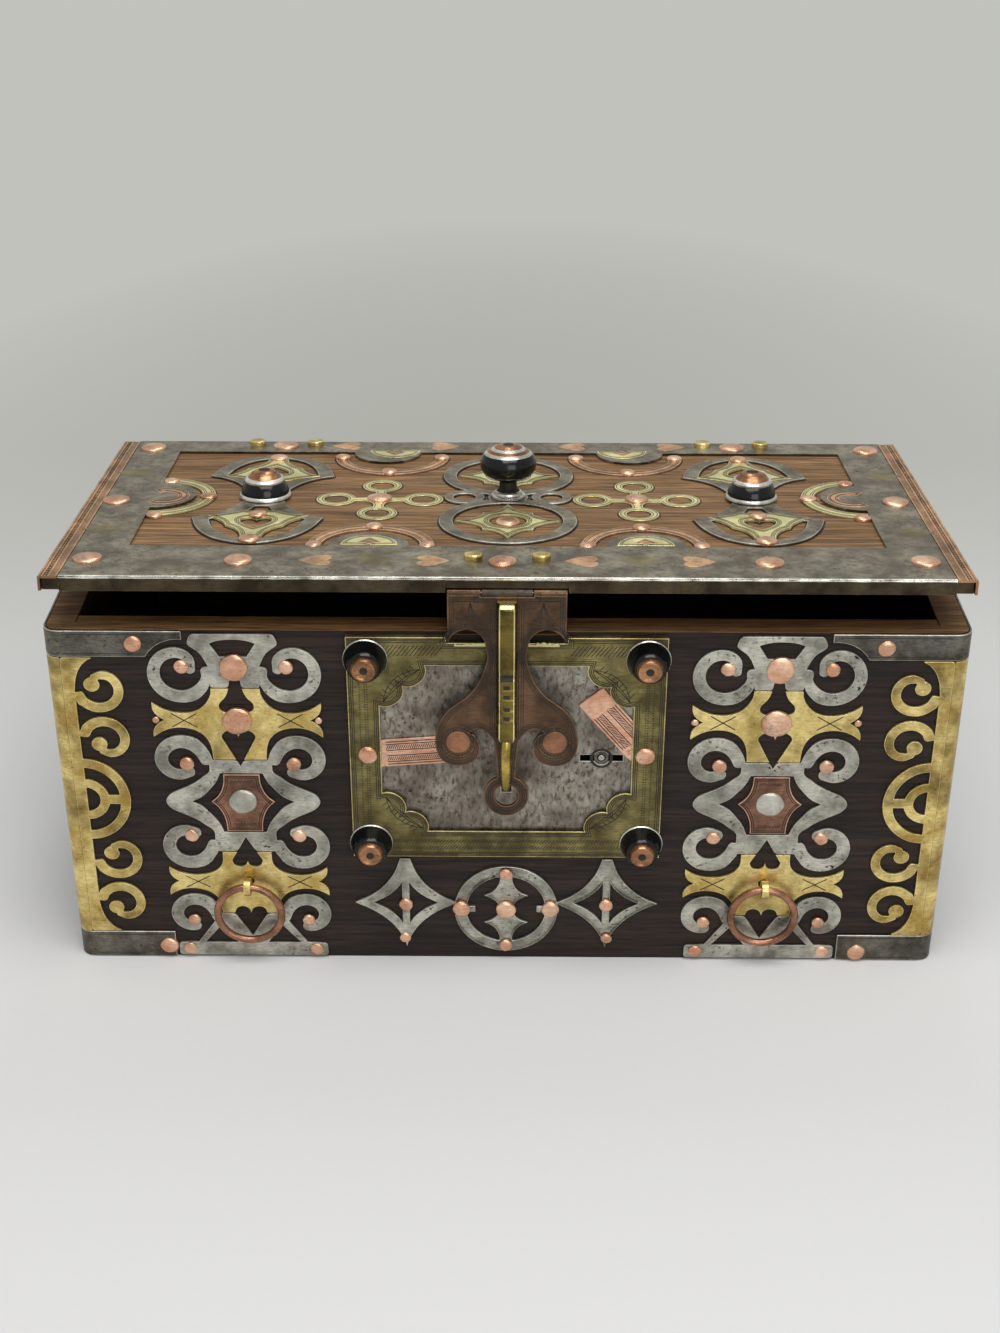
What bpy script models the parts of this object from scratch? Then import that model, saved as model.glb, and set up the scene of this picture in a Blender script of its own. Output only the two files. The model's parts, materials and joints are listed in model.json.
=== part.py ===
"""Hinged wooden box dressed with iron, brass and copper plates, with a hasp, a key lock and drop rings.

All sizes are in millimetres and become metres where a mesh is made. The origin is the middle of the
underside, X runs along the front, the front faces -Y and +Z is up. Lid pieces are drawn with the lid
shut, from the hinge axis, and hasp pieces from the hasp's own axis.
"""

import math

import bmesh
import bpy
from mathutils import Vector
from mathutils.geometry import delaunay_2d_cdt

MM = 0.001

# Box
BOX_WIDTH = 378.0
BOX_DEPTH = 184.0
BOX_HEIGHT = 165.0
WALL = 12.0
BASE = 10.0
CORNER_LAP = 6.0
BASE_LAP = 5.0
CORNER_RADIUS = 5.0
FIT = 0.3

# Lid
LID_INSET = 1.0
LID_OVERHANG = 6.0
LID_BOARD = 5.0
LID_AJAR = 5.8
LID_BORDER_FRONT = 38.0
LID_BORDER_BACK = 17.0
LID_BORDER_SIDE = 30.0
END_CAP = 8.0
LOBE_RADIUS = 17.0
INLAY = 0.8
FRAME_TO_BORDER = 49.0
FRAME_ROOM = 4.0
KNOB_TENON = 3.0

# Plates on the front, with heights counted from its middle
PLATE = 1.0
COLUMN_HALF = 80.6
COLUMN_MARGIN = 1.9
COLUMN_HEAD = 18.0
COLUMN_FOOT = 32.5
CORNER_REACH = 30.0
BAND = 4.8
UPPER_SEAM = 55.7
STAR_SEAM_TOP = 20.9
STAR_SEAM_LOW = -25.7
STAR_TOP = 13.7
STAR_LOW = -15.1
LOWER_SEAM = -58.4
STRAP_UPPER = 12.0
STRAP_LOWER = 13.5
STRAP_RETURN = 45.0
CORNER_BAND = 10.0
CORNER_RETURN = 12.0
ORNAMENT_FOOT = 27.0
UPPER_CURL = 11.2
UPPER_CURL_X = 22.3
UPPER_CURL_Z = 62.8
CURL_ROOM = 2.0
HEAD_ROOM = 2.5

# Lock, with heights counted down from its top
LOCK_WIDTH = 132.0
LOCK_INSET = 1.5
LOCK_FOOT = 56.0
LOCK_RAIL = 13.3
LOCK_RIM = 2.0
LOCK_SKIN = 0.8
LOCK_PLATE = 0.8
SCALLOP = 8.3
COVER = 0.6
COVER_WIDTH = 13.2
COVER_LENGTH = 37.0
COVER_PIVOT_INSET = 7.7
COVER_PIVOT_DROP = 56.5
COVER_HOLE = 1.9
COVER_PIN = 1.6
LEFT_COVER_TILT = 4.5
KEYHOLE_COVER_TILT = 129.7
KEYHOLE_INSET = 26.0
KEYHOLE_DROP = 58.3
KEYHOLE_RADIUS = 3.2
KEYHOLE_SLOT = 18.0
KEYHOLE_SLOT_HEIGHT = 3.0
KEY_PIN = 1.4
KNOB_INSET = 8.0
KNOB_DROP = 10.0
KNOB_RISE = 7.5
KNOB_RADIUS = 9.3
KNOB_HEIGHT = 11.0
KNOB_CAP = 5.6
BOLT_DROP = 68.5
BOLT_HEIGHT = 7.0
BOLT_THICK = 2.2
BOLT_THROW = 9.0
POCKET_DEPTH = 7.0

# Hinges at the back
HINGE_FROM_SIDE = 81.0
HINGE_LEAF = 40.0
HINGE_DROP = 34.0
LEAF = 1.2
BACK_LEAF = 1.5
KNUCKLE = 2.6
BORE = 1.4
PIN = 1.1
MIDDLE_KNUCKLE = 13.0
KNUCKLE_GAP = 0.4
TAB_SPACING = 28.0
TAB_WIDTH = 3.6
TAB_DEPTH = 2.6
TAB_PROUD = 1.4
TAB_INSET = 5.0

# Hasp
HASP_PLATE = 1.5
HASP_GAP = 0.4
HASP_HALF = 24.2
HASP_KNUCKLE = 2.1
HASP_TOP = -0.4
HASP_BORE = 1.2
HASP_PIN = 0.9
HASP_MIDDLE = 21.0
HASP_AXIS_DROP = 0.9
HASP_TAB_BACK = 23.0
HASP_LEAF_BACK = 27.0
HASP_RING_Z = -90.2
BAR_WIDTH = 7.6
BAR_THICK = 6.0
BAR_TOP = -2.5
BAR_LOW = -65.6
TAIL = 21.0
STAPLE_REACH = 8.0
STAPLE_WIRE = 1.8
STAPLE_WIDTH = 2.4

# Drop rings
RING_EYE_Z = -41.0
RING_RADIUS = 14.0
RING_WIRE = 1.7
EYE_HOLE = 2.4
EYE_WALL = 1.6
EYE_WIDTH = 3.0
EYE_STAND = 4.5
SHANK = 2.4

# Places that follow from the sizes
FRONT = -BOX_DEPTH / 2
BACK = BOX_DEPTH / 2
SIDE = BOX_WIDTH / 2
MIDDLE = BOX_HEIGHT / 2
LOCK_HALF = LOCK_WIDTH / 2
LOCK_TOP = MIDDLE - LOCK_INSET
LOCK_LOW = LOCK_FOOT - MIDDLE
COVER_PIVOT_X = LOCK_HALF - COVER_PIVOT_INSET
COVER_PIVOT_Z = LOCK_TOP - COVER_PIVOT_DROP
KEYHOLE_X = LOCK_HALF - KEYHOLE_INSET
KEYHOLE_Z = LOCK_TOP - KEYHOLE_DROP
BOLT_LENGTH = KEYHOLE_X
KNOB_X = LOCK_HALF - KNOB_INSET
KNOB_TOP_Z = LOCK_TOP - KNOB_DROP
KNOB_LOW_Z = LOCK_LOW + KNOB_RISE
BOLT_Z = LOCK_TOP - BOLT_DROP
COLUMN_X = (LOCK_HALF + SIDE - CORNER_REACH) / 2
COLUMN_STRETCH = (MIDDLE - COLUMN_MARGIN) / COLUMN_HALF
RING_Z = RING_EYE_Z * COLUMN_STRETCH
ORNAMENT_Z = ORNAMENT_FOOT - MIDDLE
STRAP_UPPER_LENGTH = SIDE - COLUMN_X - COLUMN_HEAD - HEAD_ROOM
STRAP_LOWER_LENGTH = SIDE - COLUMN_X - COLUMN_FOOT - CURL_ROOM
HINGE_X = SIDE - HINGE_FROM_SIDE
PLATE_BACK = FRONT - FIT
PLATE_FRONT = PLATE_BACK - PLATE
LOCK_PLATE_FRONT = PLATE_BACK - LOCK_PLATE
COVER_BACK = LOCK_PLATE_FRONT - FIT
COVER_FRONT = COVER_BACK - COVER
LOCK_SKIN_BACK = COVER_FRONT - FIT
LOCK_FRONT = LOCK_SKIN_BACK - LOCK_SKIN
HINGE_Y = BACK + FIT + KNUCKLE + FIT
HINGE_Z = BOX_HEIGHT + FIT / 2
LID_UNDER = BOX_HEIGHT + FIT - HINGE_Z
LID_TOP = LID_UNDER + LID_BOARD
BORDER_LOW = LID_TOP + FIT
BORDER_TOP = BORDER_LOW + PLATE
LID_BACK = BACK - HINGE_Y
LID_FRONT = FRONT - LID_OVERHANG - HINGE_Y
LID_WIDTH = BOX_WIDTH - 2 * LID_INSET
LID_HALF = LID_WIDTH / 2
PANEL_LOW, PANEL_HIGH = LID_FRONT + LID_BORDER_FRONT, LID_BACK - LID_BORDER_BACK
PANEL_Y = (PANEL_LOW + PANEL_HIGH) / 2
FRAME_END = (PANEL_HIGH - PANEL_LOW) / 2 - FRAME_ROOM
FRAME_SPACING = LID_HALF - LID_BORDER_SIDE - FRAME_TO_BORDER
LOBE_X = FRAME_SPACING / 2 + 3.5
HASP_BACK = LOCK_FRONT - HASP_GAP
HASP_AXIS_Y = HASP_BACK - HASP_PLATE + HASP_KNUCKLE - HINGE_Y
HASP_AXIS_Z = -HASP_AXIS_DROP
LEAF_HIGH = LID_UNDER - FIT
LEAF_LOW = LEAF_HIGH - LEAF
NOTCH_FLOOR = HINGE_Z + LEAF_LOW - FIT
LOCK_NOTCH = HASP_HALF + 2 * FIT
LOCK_NOTCH_FLOOR = HINGE_Z + HASP_AXIS_Z - HASP_KNUCKLE - 4 * FIT
STAPLE_Z = MIDDLE + BOLT_Z - HINGE_Z - HASP_AXIS_Z
EYE_Y = PLATE_FRONT - EYE_STAND
SHANK_HOLE = math.hypot(EYE_WIDTH, SHANK) / 2 + FIT
STAPLE_HALF = BOLT_HEIGHT / 2 + 2 * FIT + STAPLE_WIRE
LID_LIFT = -HASP_AXIS_Y * math.sin(math.radians(LID_AJAR))
CATCH_HALF = STAPLE_WIDTH / 2 + 3 * FIT
CATCH_LOW = BOLT_Z - STAPLE_HALF - 3 * FIT
CATCH_HIGH = BOLT_Z + STAPLE_HALF + 3 * FIT + LID_LIFT
BOLT_LEFT = CATCH_HALF
FRAME_XS = (-FRAME_SPACING, 0, FRAME_SPACING)
BACK_TAB_Y = LID_BACK - TAB_INSET
HASP_TAB_Y = LID_FRONT + HASP_TAB_BACK
CUT = 5.0


# Outlines, as lists of points in a plane

def polar(centre, radius, degrees):
    angle = math.radians(degrees)
    return (centre[0] + radius * math.cos(angle), centre[1] + radius * math.sin(angle))


def arc(centre, radius, start, end, steps):
    return [polar(centre, radius, start + (end - start) * i / steps) for i in range(steps + 1)]


def circle(centre, radius, steps=16):
    return arc(centre, radius, 0, 360, steps)[:-1]


def rectangle(left, low, right, high):
    return [(left, low), (right, low), (right, high), (left, high)]


def bend(start, control, end, steps=5):
    """The points after start, up to end, of a curve drawn towards the control point."""
    found = []
    for i in range(1, steps + 1):
        t = i / steps
        weights = ((1 - t) ** 2, 2 * t * (1 - t), t * t)
        found.append(tuple(sum(w * p[k] for w, p in zip(weights, (start, control, end))) for k in (0, 1)))
    return found


def mirrored(outline):
    return [(-u, v) for u, v in reversed(outline)]


def flipped(outline):
    return [(u, -v) for u, v in reversed(outline)]


def symmetric(right_side):
    """A closed outline from its right side, listed from the top down."""
    return right_side + [point for point in mirrored(right_side) if abs(point[0]) > 1e-6]


def moved(outline, du, dv, stretch=1.0):
    """An outline stretched in height, then moved."""
    return [(u + du, v * stretch + dv) for u, v in outline]


def turned_outline(outline, degrees, centre):
    cos, sin = math.cos(math.radians(degrees)), math.sin(math.radians(degrees))
    return [(centre[0] + u * cos - v * sin, centre[1] + u * sin + v * cos) for u, v in outline]


def scroll(centre, radii, start, sweep, widths, tightness, steps=10):
    """A tapering band that curls from the first radius to the second, with a round tip."""
    outer, inner = [], []
    for i in range(steps + 1):
        t = i / steps
        angle = start + sweep * t
        radius = radii[0] + (radii[1] - radii[0]) * t ** tightness
        half = (widths[0] + (widths[1] - widths[0]) * t) / 2
        outer.append(polar(centre, radius + half, angle))
        inner.append(polar(centre, radius - half, angle))
    end = start + sweep
    tip = polar(centre, radii[1], end)
    side = 1 if sweep > 0 else -1
    cap = [polar(tip, widths[1] / 2, end + side * turn) for turn in (45, 90, 135)]
    return outer + cap + inner[::-1]


def heart(centre, half, height, steps=4):
    """A heart with its point down, its lobes above the centre."""
    u, v = centre
    lobe = half / 2
    right = [(u, v)] + arc((u + lobe, v), lobe, 180, 0, steps)[1:] + [(u, v - height)]
    left = [(2 * u - p[0], p[1]) for p in reversed(right[1:-1])]
    return right + left


def pair(outline):
    return [outline, mirrored(outline)]


# Solids

def place(plane, u, v, w):
    spots = {"front": (u, w, v), "plan": (u, v, w), "side": (w, u, v)}
    return Vector(spots[plane]) * MM


def counter_clockwise(outline):
    area = sum(a[0] * b[1] - b[0] * a[1] for a, b in zip(outline, outline[1:] + outline[:1]))
    return outline if area > 0 else outline[::-1]


def region(shapes, holes, islands):
    """The points and triangles of the shapes joined together, less the holes, with the islands added."""
    points, faces = [], []
    for outline in shapes + holes + islands:
        faces.append([len(points) + i for i in range(len(outline))])
        points.extend(Vector(point) for point in counter_clockwise(outline))
    found = delaunay_2d_cdt(points, [], faces, 1, 1e-4)
    first_hole, first_island = len(shapes), len(shapes) + len(holes)
    kept = []
    for triangle, owners in zip(found[2], found[5]):
        on_island = any(owner >= first_island for owner in owners)
        on_shape = any(owner < first_hole for owner in owners)
        in_hole = any(first_hole <= owner < first_island for owner in owners)
        if on_island or on_shape and not in_hole:
            kept.append(list(triangle))
    return found[0], kept


def new_object(name, bm):
    bmesh.ops.recalc_face_normals(bm, faces=bm.faces)
    mesh = bpy.data.meshes.new(name)
    bm.to_mesh(mesh)
    bm.free()
    obj = bpy.data.objects.new(name, mesh)
    bpy.context.scene.collection.objects.link(obj)
    return obj


def sheet(name, plane, low, high, shapes, holes=(), islands=()):
    """Shapes joined in one plane, less the holes, extruded from low to high."""
    points, triangles = region(list(shapes), list(holes), list(islands))
    bm = bmesh.new()
    used = sorted({index for triangle in triangles for index in triangle})
    layers = [{i: bm.verts.new(place(plane, points[i].x, points[i].y, w)) for i in used} for w in (low, high)]
    edges = {}
    for triangle in triangles:
        for layer in layers:
            bm.faces.new([layer[i] for i in triangle])
        for a, b in zip(triangle, triangle[1:] + triangle[:1]):
            edges[frozenset((a, b))] = edges.get(frozenset((a, b)), 0) + 1
    for edge in [edge for edge, count in edges.items() if count == 1]:
        a, b = sorted(edge)
        bm.faces.new([layers[0][a], layers[0][b], layers[1][b], layers[1][a]])
    bmesh.ops.recalc_face_normals(bm, faces=bm.faces)
    bmesh.ops.dissolve_limit(bm, angle_limit=0.001, verts=bm.verts, edges=bm.edges)
    return new_object(name, bm)


def block(name, low, high):
    return sheet(name, "plan", low[2], high[2], [rectangle(low[0], low[1], high[0], high[1])])


def turned(name, profile, axis, foot, closed=False, steps=20):
    """A profile of (radius, height) points turned about an axis through foot: Z up, Y forward or X right."""
    bm = bmesh.new()
    rings = []
    for radius, height in profile:
        ring = []
        for i in range(steps):
            u, v = polar((0, 0), radius, 360 * i / steps)
            spot = {"Z": (u, v, height), "Y": (u, -height, v), "X": (height, u, v)}[axis]
            ring.append(bm.verts.new((Vector(spot) + Vector(foot)) * MM))
        rings.append(ring)
    joins = list(zip(rings, rings[1:])) + ([(rings[-1], rings[0])] if closed else [])
    for one, two in joins:
        for i in range(steps):
            k = (i + 1) % steps
            bm.faces.new([one[i], one[k], two[k], two[i]])
    if not closed:
        bm.faces.new(rings[0])
        bm.faces.new(rings[-1])
    return new_object(name, bm)


def rod(name, radius, low, high, axis, foot, steps=12):
    return turned(name, [(radius, low), (radius, high)], axis, foot, steps=steps)


def combine(target, operation, others):
    """Joins the other solids to the target, or cuts them from it."""
    for other in others:
        modifier = target.modifiers.new("combine", "BOOLEAN")
        modifier.operation = operation
        modifier.object = other
        modifier.solver = "EXACT"
    bpy.context.view_layer.update()
    graph = bpy.context.evaluated_depsgraph_get()
    mesh = bpy.data.meshes.new_from_object(target.evaluated_get(graph))
    target.modifiers.clear()
    target.data = mesh
    for other in others:
        bpy.data.objects.remove(other)
    return target


def cut(target, *others):
    return combine(target, "DIFFERENCE", others)


def join(target, *others):
    return combine(target, "UNION", others)


MATERIALS = {
    "wood": ((0.075, 0.032, 0.017), 0.55, 0.0),
    "lid_wood": ((0.22, 0.11, 0.05), 0.5, 0.0),
    "iron": ((0.36, 0.37, 0.38), 0.42, 1.0),
    "brass": ((0.62, 0.47, 0.17), 0.35, 1.0),
    "copper": ((0.66, 0.35, 0.24), 0.38, 1.0),
    "ebony": ((0.015, 0.017, 0.022), 0.3, 0.0),
}


def finished(obj, material, parent=None):
    """Gives the object its material, its smooth round faces and the frame that it moves with."""
    colour, roughness, metallic = MATERIALS[material]
    made = bpy.data.materials.get(material) or bpy.data.materials.new(material)
    made.use_nodes = True
    shader = made.node_tree.nodes["Principled BSDF"]
    shader.inputs["Base Color"].default_value = (*colour, 1)
    shader.inputs["Roughness"].default_value = roughness
    shader.inputs["Metallic"].default_value = metallic
    obj.data.materials.clear()
    obj.data.materials.append(made)
    obj.data.shade_smooth()
    obj.data.set_sharp_from_angle(angle=math.radians(30))
    obj.parent = parent
    return obj


def empty(name, location, parent=None, tilt=0.0):
    obj = bpy.data.objects.new(name, None)
    obj.location = Vector(location) * MM
    obj.rotation_euler.x = math.radians(tilt)
    obj.parent = parent
    bpy.context.scene.collection.objects.link(obj)
    return obj


# Wooden box

def wall_plan(side):
    """The plan of the front or back board: round outer corners and laps that take the end boards."""
    lap = SIDE - WALL
    corner = (SIDE - CORNER_RADIUS, BACK - CORNER_RADIUS)
    right = [(0, BACK)] + arc(corner, CORNER_RADIUS, 90, 0, 4)
    right += [(SIDE, BACK - CORNER_LAP), (lap, BACK - CORNER_LAP), (lap, BACK - WALL), (0, BACK - WALL)]
    return symmetric(right) if side == "back" else flipped(symmetric(right))


def base_lap():
    """The rabbet along the foot of the walls that the base board sits in."""
    half_x, half_y = SIDE - WALL + BASE_LAP, BACK - WALL + BASE_LAP
    return block("base_lap", (-half_x, -half_y, -CUT), (half_x, half_y, BASE))


def lock_pocket():
    """The hollow behind the lock plate: room for the bolt, the key and the hasp's staple."""
    floor = FRONT + POCKET_DEPTH
    low, high = MIDDLE + BOLT_Z - BOLT_HEIGHT / 2 - FIT, MIDDLE + KEYHOLE_Z + KEYHOLE_RADIUS + FIT
    right = KEYHOLE_X + KEYHOLE_SLOT / 2 + FIT
    catch = rectangle(-CATCH_HALF, MIDDLE + CATCH_LOW, CATCH_HALF, MIDDLE + CATCH_HIGH)
    room = rectangle(BOLT_LEFT - BOLT_THROW - FIT, low, right, high)
    return sheet("lock_pocket", "front", FRONT - CUT, floor, [room, catch])


def front_board():
    board = sheet("front_board", "plan", 0, BOX_HEIGHT, [wall_plan("front")])
    half = HASP_HALF + FIT
    notch = block("notch", (-half, FRONT - CUT, NOTCH_FLOOR), (half, FRONT + WALL + CUT, BOX_HEIGHT + CUT))
    key_foot = (KEYHOLE_X, 0, MIDDLE + KEYHOLE_Z)
    key_hole = rod("key_hole", KEY_PIN + FIT, -FRONT - WALL + FIT, -FRONT, "Y", key_foot)
    cutters = [base_lap(), notch, lock_pocket(), key_hole]
    for side in (-1, 1):
        foot = (side * COLUMN_X, 0, MIDDLE + RING_Z)
        cutters.append(rod("shank_hole", SHANK_HOLE, -FRONT - WALL - CUT, -FRONT + CUT, "Y", foot))
        foot = (side * COVER_PIVOT_X, 0, MIDDLE + COVER_PIVOT_Z)
        cutters.append(rod("pivot_hole", COVER_HOLE, -FRONT - WALL / 2, -FRONT + CUT, "Y", foot))
    finished(cut(board, *cutters), "wood")


def back_board():
    board = sheet("back_board", "plan", 0, BOX_HEIGHT, [wall_plan("back")])
    cutters = [base_lap()]
    half = HINGE_LEAF / 2 + FIT
    for side in (-1, 1):
        low = (side * HINGE_X - half, BACK - WALL - CUT, NOTCH_FLOOR)
        cutters.append(block("notch", low, (side * HINGE_X + half, BACK + CUT, BOX_HEIGHT + CUT)))
    finished(cut(board, *cutters), "wood")


def end_boards_and_base():
    reach = BACK - CORNER_LAP - FIT
    for name, side in (("left_end_board", -1), ("right_end_board", 1)):
        left, right = sorted((side * (SIDE - WALL + FIT), side * SIDE))
        board = block(name, (left, -reach, 0), (right, reach, BOX_HEIGHT))
        finished(cut(board, base_lap()), "wood")
    half_x, half_y = SIDE - WALL + BASE_LAP - FIT, BACK - WALL + BASE_LAP - FIT
    finished(block("base_board", (-half_x, -half_y, 0), (half_x, half_y, BASE - FIT)), "wood")


# Straps and corner plates, which wrap the front corners

def corner_plan(along_front, along_side, side):
    """The plan of a sheet bent round a front corner, the right one for side 1."""
    centre = (SIDE - CORNER_RADIUS, FRONT + CORNER_RADIUS)
    inner = [(SIDE - along_front, PLATE_BACK)] + arc(centre, CORNER_RADIUS + FIT, -90, 0, 4)
    outer = [(SIDE - along_front, PLATE_FRONT)] + arc(centre, CORNER_RADIUS + FIT + PLATE, -90, 0, 4)
    inner.append((SIDE + FIT, FRONT + along_side))
    outer.append((SIDE + FIT + PLATE, FRONT + along_side))
    outline = inner + outer[::-1]
    return outline if side > 0 else mirrored(outline)


def straps():
    high = BOX_HEIGHT - FIT
    for hand, side in (("left", -1), ("right", 1)):
        outline = corner_plan(STRAP_UPPER_LENGTH, STRAP_RETURN, side)
        strap = sheet(f"upper_{hand}_strap", "plan", high - STRAP_UPPER, high, [outline])
        hollow = (side * (COLUMN_X + UPPER_CURL_X), MIDDLE + UPPER_CURL_Z * COLUMN_STRETCH)
        bite = circle(hollow, (UPPER_CURL + BAND / 2) * max(1, COLUMN_STRETCH) + CURL_ROOM, 28)
        finished(cut(strap, sheet("bite", "front", FRONT - CUT, FRONT, [bite])), "iron")
        outline = corner_plan(STRAP_LOWER_LENGTH, STRAP_RETURN, side)
        finished(sheet(f"lower_{hand}_strap", "plan", FIT, FIT + STRAP_LOWER, [outline]), "iron")


def half_bow(centre, outer, inner):
    """A half ring that opens to the left, with its own half width and half height outside and inside."""
    turns = [math.radians(-90 + 18 * i) for i in range(11)]
    wide = [(centre[0] + outer[0] * math.cos(a), centre[1] + outer[1] * math.sin(a)) for a in turns]
    narrow = [(centre[0] + inner[0] * math.cos(a), centre[1] + inner[1] * math.sin(a)) for a in turns]
    return wide + narrow[::-1]


def corner_outlines(half_height):
    """The left corner's scrollwork, from the box edge inwards and from its own middle up."""
    upper = [(CORNER_RADIUS, 0), (CORNER_BAND, 0), (CORNER_BAND, half_height - 16)]
    upper += bend(upper[-1], (CORNER_BAND + 1, half_height - 3), (CORNER_BAND + 9, half_height))
    upper.append((CORNER_RADIUS, half_height))
    shapes = [upper]
    high, low = (19.6, 0.785 * half_height), (20.2, 0.428 * half_height)
    for centre, start, sweep in ((high, 190, 310), (low, 170, -310)):
        shapes.append(scroll(centre, (9.0, 3.2), start, sweep, (BAND, 3.6), 4))
        shapes.append(circle(polar(centre, 3.2, start + sweep), 3.4, 10))
    shapes += [flipped(outline) for outline in shapes]
    middle = (CORNER_BAND - 1, 0)
    shapes.append(half_bow(middle, (19.5, 20.5), (15.2, 16.0)))
    shapes.append(half_bow(middle, (10.6, 10.2), (6.4, 6.0)))
    shapes.append(rectangle(CORNER_BAND + 8, -2.3, CORNER_BAND + 16, 2.3))
    return shapes


def corner_scrolls():
    low, high = FIT + STRAP_LOWER + FIT, BOX_HEIGHT - 2 * FIT - STRAP_UPPER
    outlines = [moved(o, -SIDE, (low + high) / 2) for o in corner_outlines((high - low) / 2)]
    for hand, side in (("left", -1), ("right", 1)):
        shapes = outlines if side < 0 else [mirrored(o) for o in outlines]
        plate = sheet(f"{hand}_corner_scroll", "front", PLATE_FRONT, PLATE_BACK, shapes)
        band = corner_plan(CORNER_BAND - FIT, CORNER_RETURN, side)
        finished(join(plate, sheet("wrap", "plan", low, high, [band])), "brass")


# Two columns of scrollwork beside the lock

def drop_cut():
    """The drop-shaped opening across the upper seam."""
    right = [(0, 59.2), (2.2, 59.2)] + bend((2.2, 59.2), (2.6, 52), (6.6, 48.8), 4)
    right += bend((6.6, 48.8), (8.6, 45.2), (4.2, 44), 4) + [(0, 43.6)]
    return symmetric(right)


def spade_cut():
    return flipped(heart((0, 30.3), 6.6, 12.1))


def upper_scrolls():
    low = UPPER_SEAM + FIT / 2
    right = [(0, 80.3), (16.5, 80.3), (18, 76.5), (13.6, 72), (10.4, 65.5), (10.2, low), (0, low)]
    fan = symmetric([(0, 78.4), *bend((0, 78.4), (6, 78.4), (9.3, 76.6), 3), (5.6, 70.6), (0, 70.6)])
    curl = scroll((UPPER_CURL_X, UPPER_CURL_Z), (UPPER_CURL, 4.6), 165, 350, (BAND, 3.0), 6, 13)
    return [symmetric(right), *pair(curl)], [fan, drop_cut()]


def upper_cross():
    high, low = UPPER_SEAM - FIT / 2, STAR_SEAM_TOP + FIT / 2
    right = [(0, high), (10.2, high), (10.6, 52.5)] + bend((10.6, 52.5), (13.5, 44.5), (21.5, 43.8), 4)
    right += bend((21.5, 43.8), (29, 43.4), (35.3, 48.7), 3) + [(32.2, 40.4), (35.6, 32)]
    right += bend((35.6, 32), (30, 36.9), (23.5, 36.6), 3) + bend((23.5, 36.6), (13.5, 36), (11.8, 27), 4)
    right += [(11.3, low), (0, low)]
    return [symmetric(right)], [drop_cut(), heart((0, 31.8), 7.0, 14.0)]


def middle_scrolls():
    high, low = STAR_SEAM_TOP - FIT / 2, STAR_SEAM_LOW + FIT / 2
    arm = [(13.6, 15)] + bend((13.6, 15), (17, 9.5), (24, 6.6), 3) + [(29, 4)]
    right = [(0, high), (13.2, high)] + arm + bend((29, 4), (35.4, 0), (29, -4), 4)
    right += flipped(arm)[1:] + [(13.2, low), (0, low)]
    well = [(0, STAR_TOP + 0.5), (9, STAR_TOP + 0.5)] + bend((9, STAR_TOP + 0.5), (11.5, 5.5), (23, 0), 4)
    well += bend((23, 0), (11.5, -6), (9, STAR_LOW - 0.5), 4) + [(0, STAR_LOW - 0.5)]
    upper = scroll((25.4, 20.5), (12.5, 6.6), 190, -310, (BAND + 0.4, 3.6), 0.5)
    lower = scroll((25.2, -22.0), (12.5, 6.9), 170, 310, (BAND + 0.4, 3.6), 0.5)
    holes = [symmetric(well), heart((0, 31.8), 7.0, 14.0), spade_cut()]
    return [symmetric(right), *pair(upper), *pair(lower)], holes


def star_plate():
    right = [(0, STAR_TOP), (7.7, STAR_TOP)] + bend((7.7, STAR_TOP), (7.5, 4), (13.7, 0), 4)
    right += bend((13.7, 0), (7.5, -4.5), (7.7, STAR_LOW), 4) + [(0, STAR_LOW)]
    return [symmetric(right)], []


def lower_cross():
    high, low = STAR_SEAM_LOW - FIT / 2, LOWER_SEAM + FIT / 2
    right = [(0, high), (10.7, high), (11, -31.5)] + bend((11, -31.5), (13, -37.3), (21.5, -37.9), 4)
    right += bend((21.5, -37.9), (29, -38.3), (34.5, -33.8), 3) + [(31.5, -41.5), (35, -48.8)]
    right += bend((35, -48.8), (30, -44.8), (24, -45.2), 3) + bend((24, -45.2), (15.5, -46), (13.3, -52), 4)
    right += [(12.6, low), (0, low)]
    eye_hole = circle((0, RING_EYE_Z), SHANK_HOLE, 12)
    return [symmetric(right)], [spade_cut(), heart((0, LOWER_SEAM), 7.2, 12.1), eye_hole]


def lower_scrolls():
    high = LOWER_SEAM - FIT / 2
    right = [(0, high), (12.6, high), (15.5, -62.5), (24, -74.9), (32.5, -75.3), (32.5, -80.6), (0, -80.6)]
    curl = scroll((25.6, -59.5), (12.2, 5.8), 195, -290, (BAND, 3.6), 0.5)
    gap = [(13.5, -65), (21.3, -74.3), (6.7, -74.3)]
    return [symmetric(right), *pair(curl)], [heart((0, LOWER_SEAM), 7.2, 12.1), *pair(gap)]


def columns():
    pieces = (
        (upper_scrolls, "iron"), (upper_cross, "brass"), (middle_scrolls, "iron"),
        (star_plate, "copper"), (lower_cross, "brass"), (lower_scrolls, "iron"),
    )
    for hand, x in (("left", -COLUMN_X), ("right", COLUMN_X)):
        for outlines, material in pieces:
            shapes, holes = ([moved(o, x, MIDDLE, COLUMN_STRETCH) for o in group] for group in outlines())
            name = f"{hand}_{outlines.__name__}"
            finished(sheet(name, "front", PLATE_FRONT, PLATE_BACK, shapes, holes), material)


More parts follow.
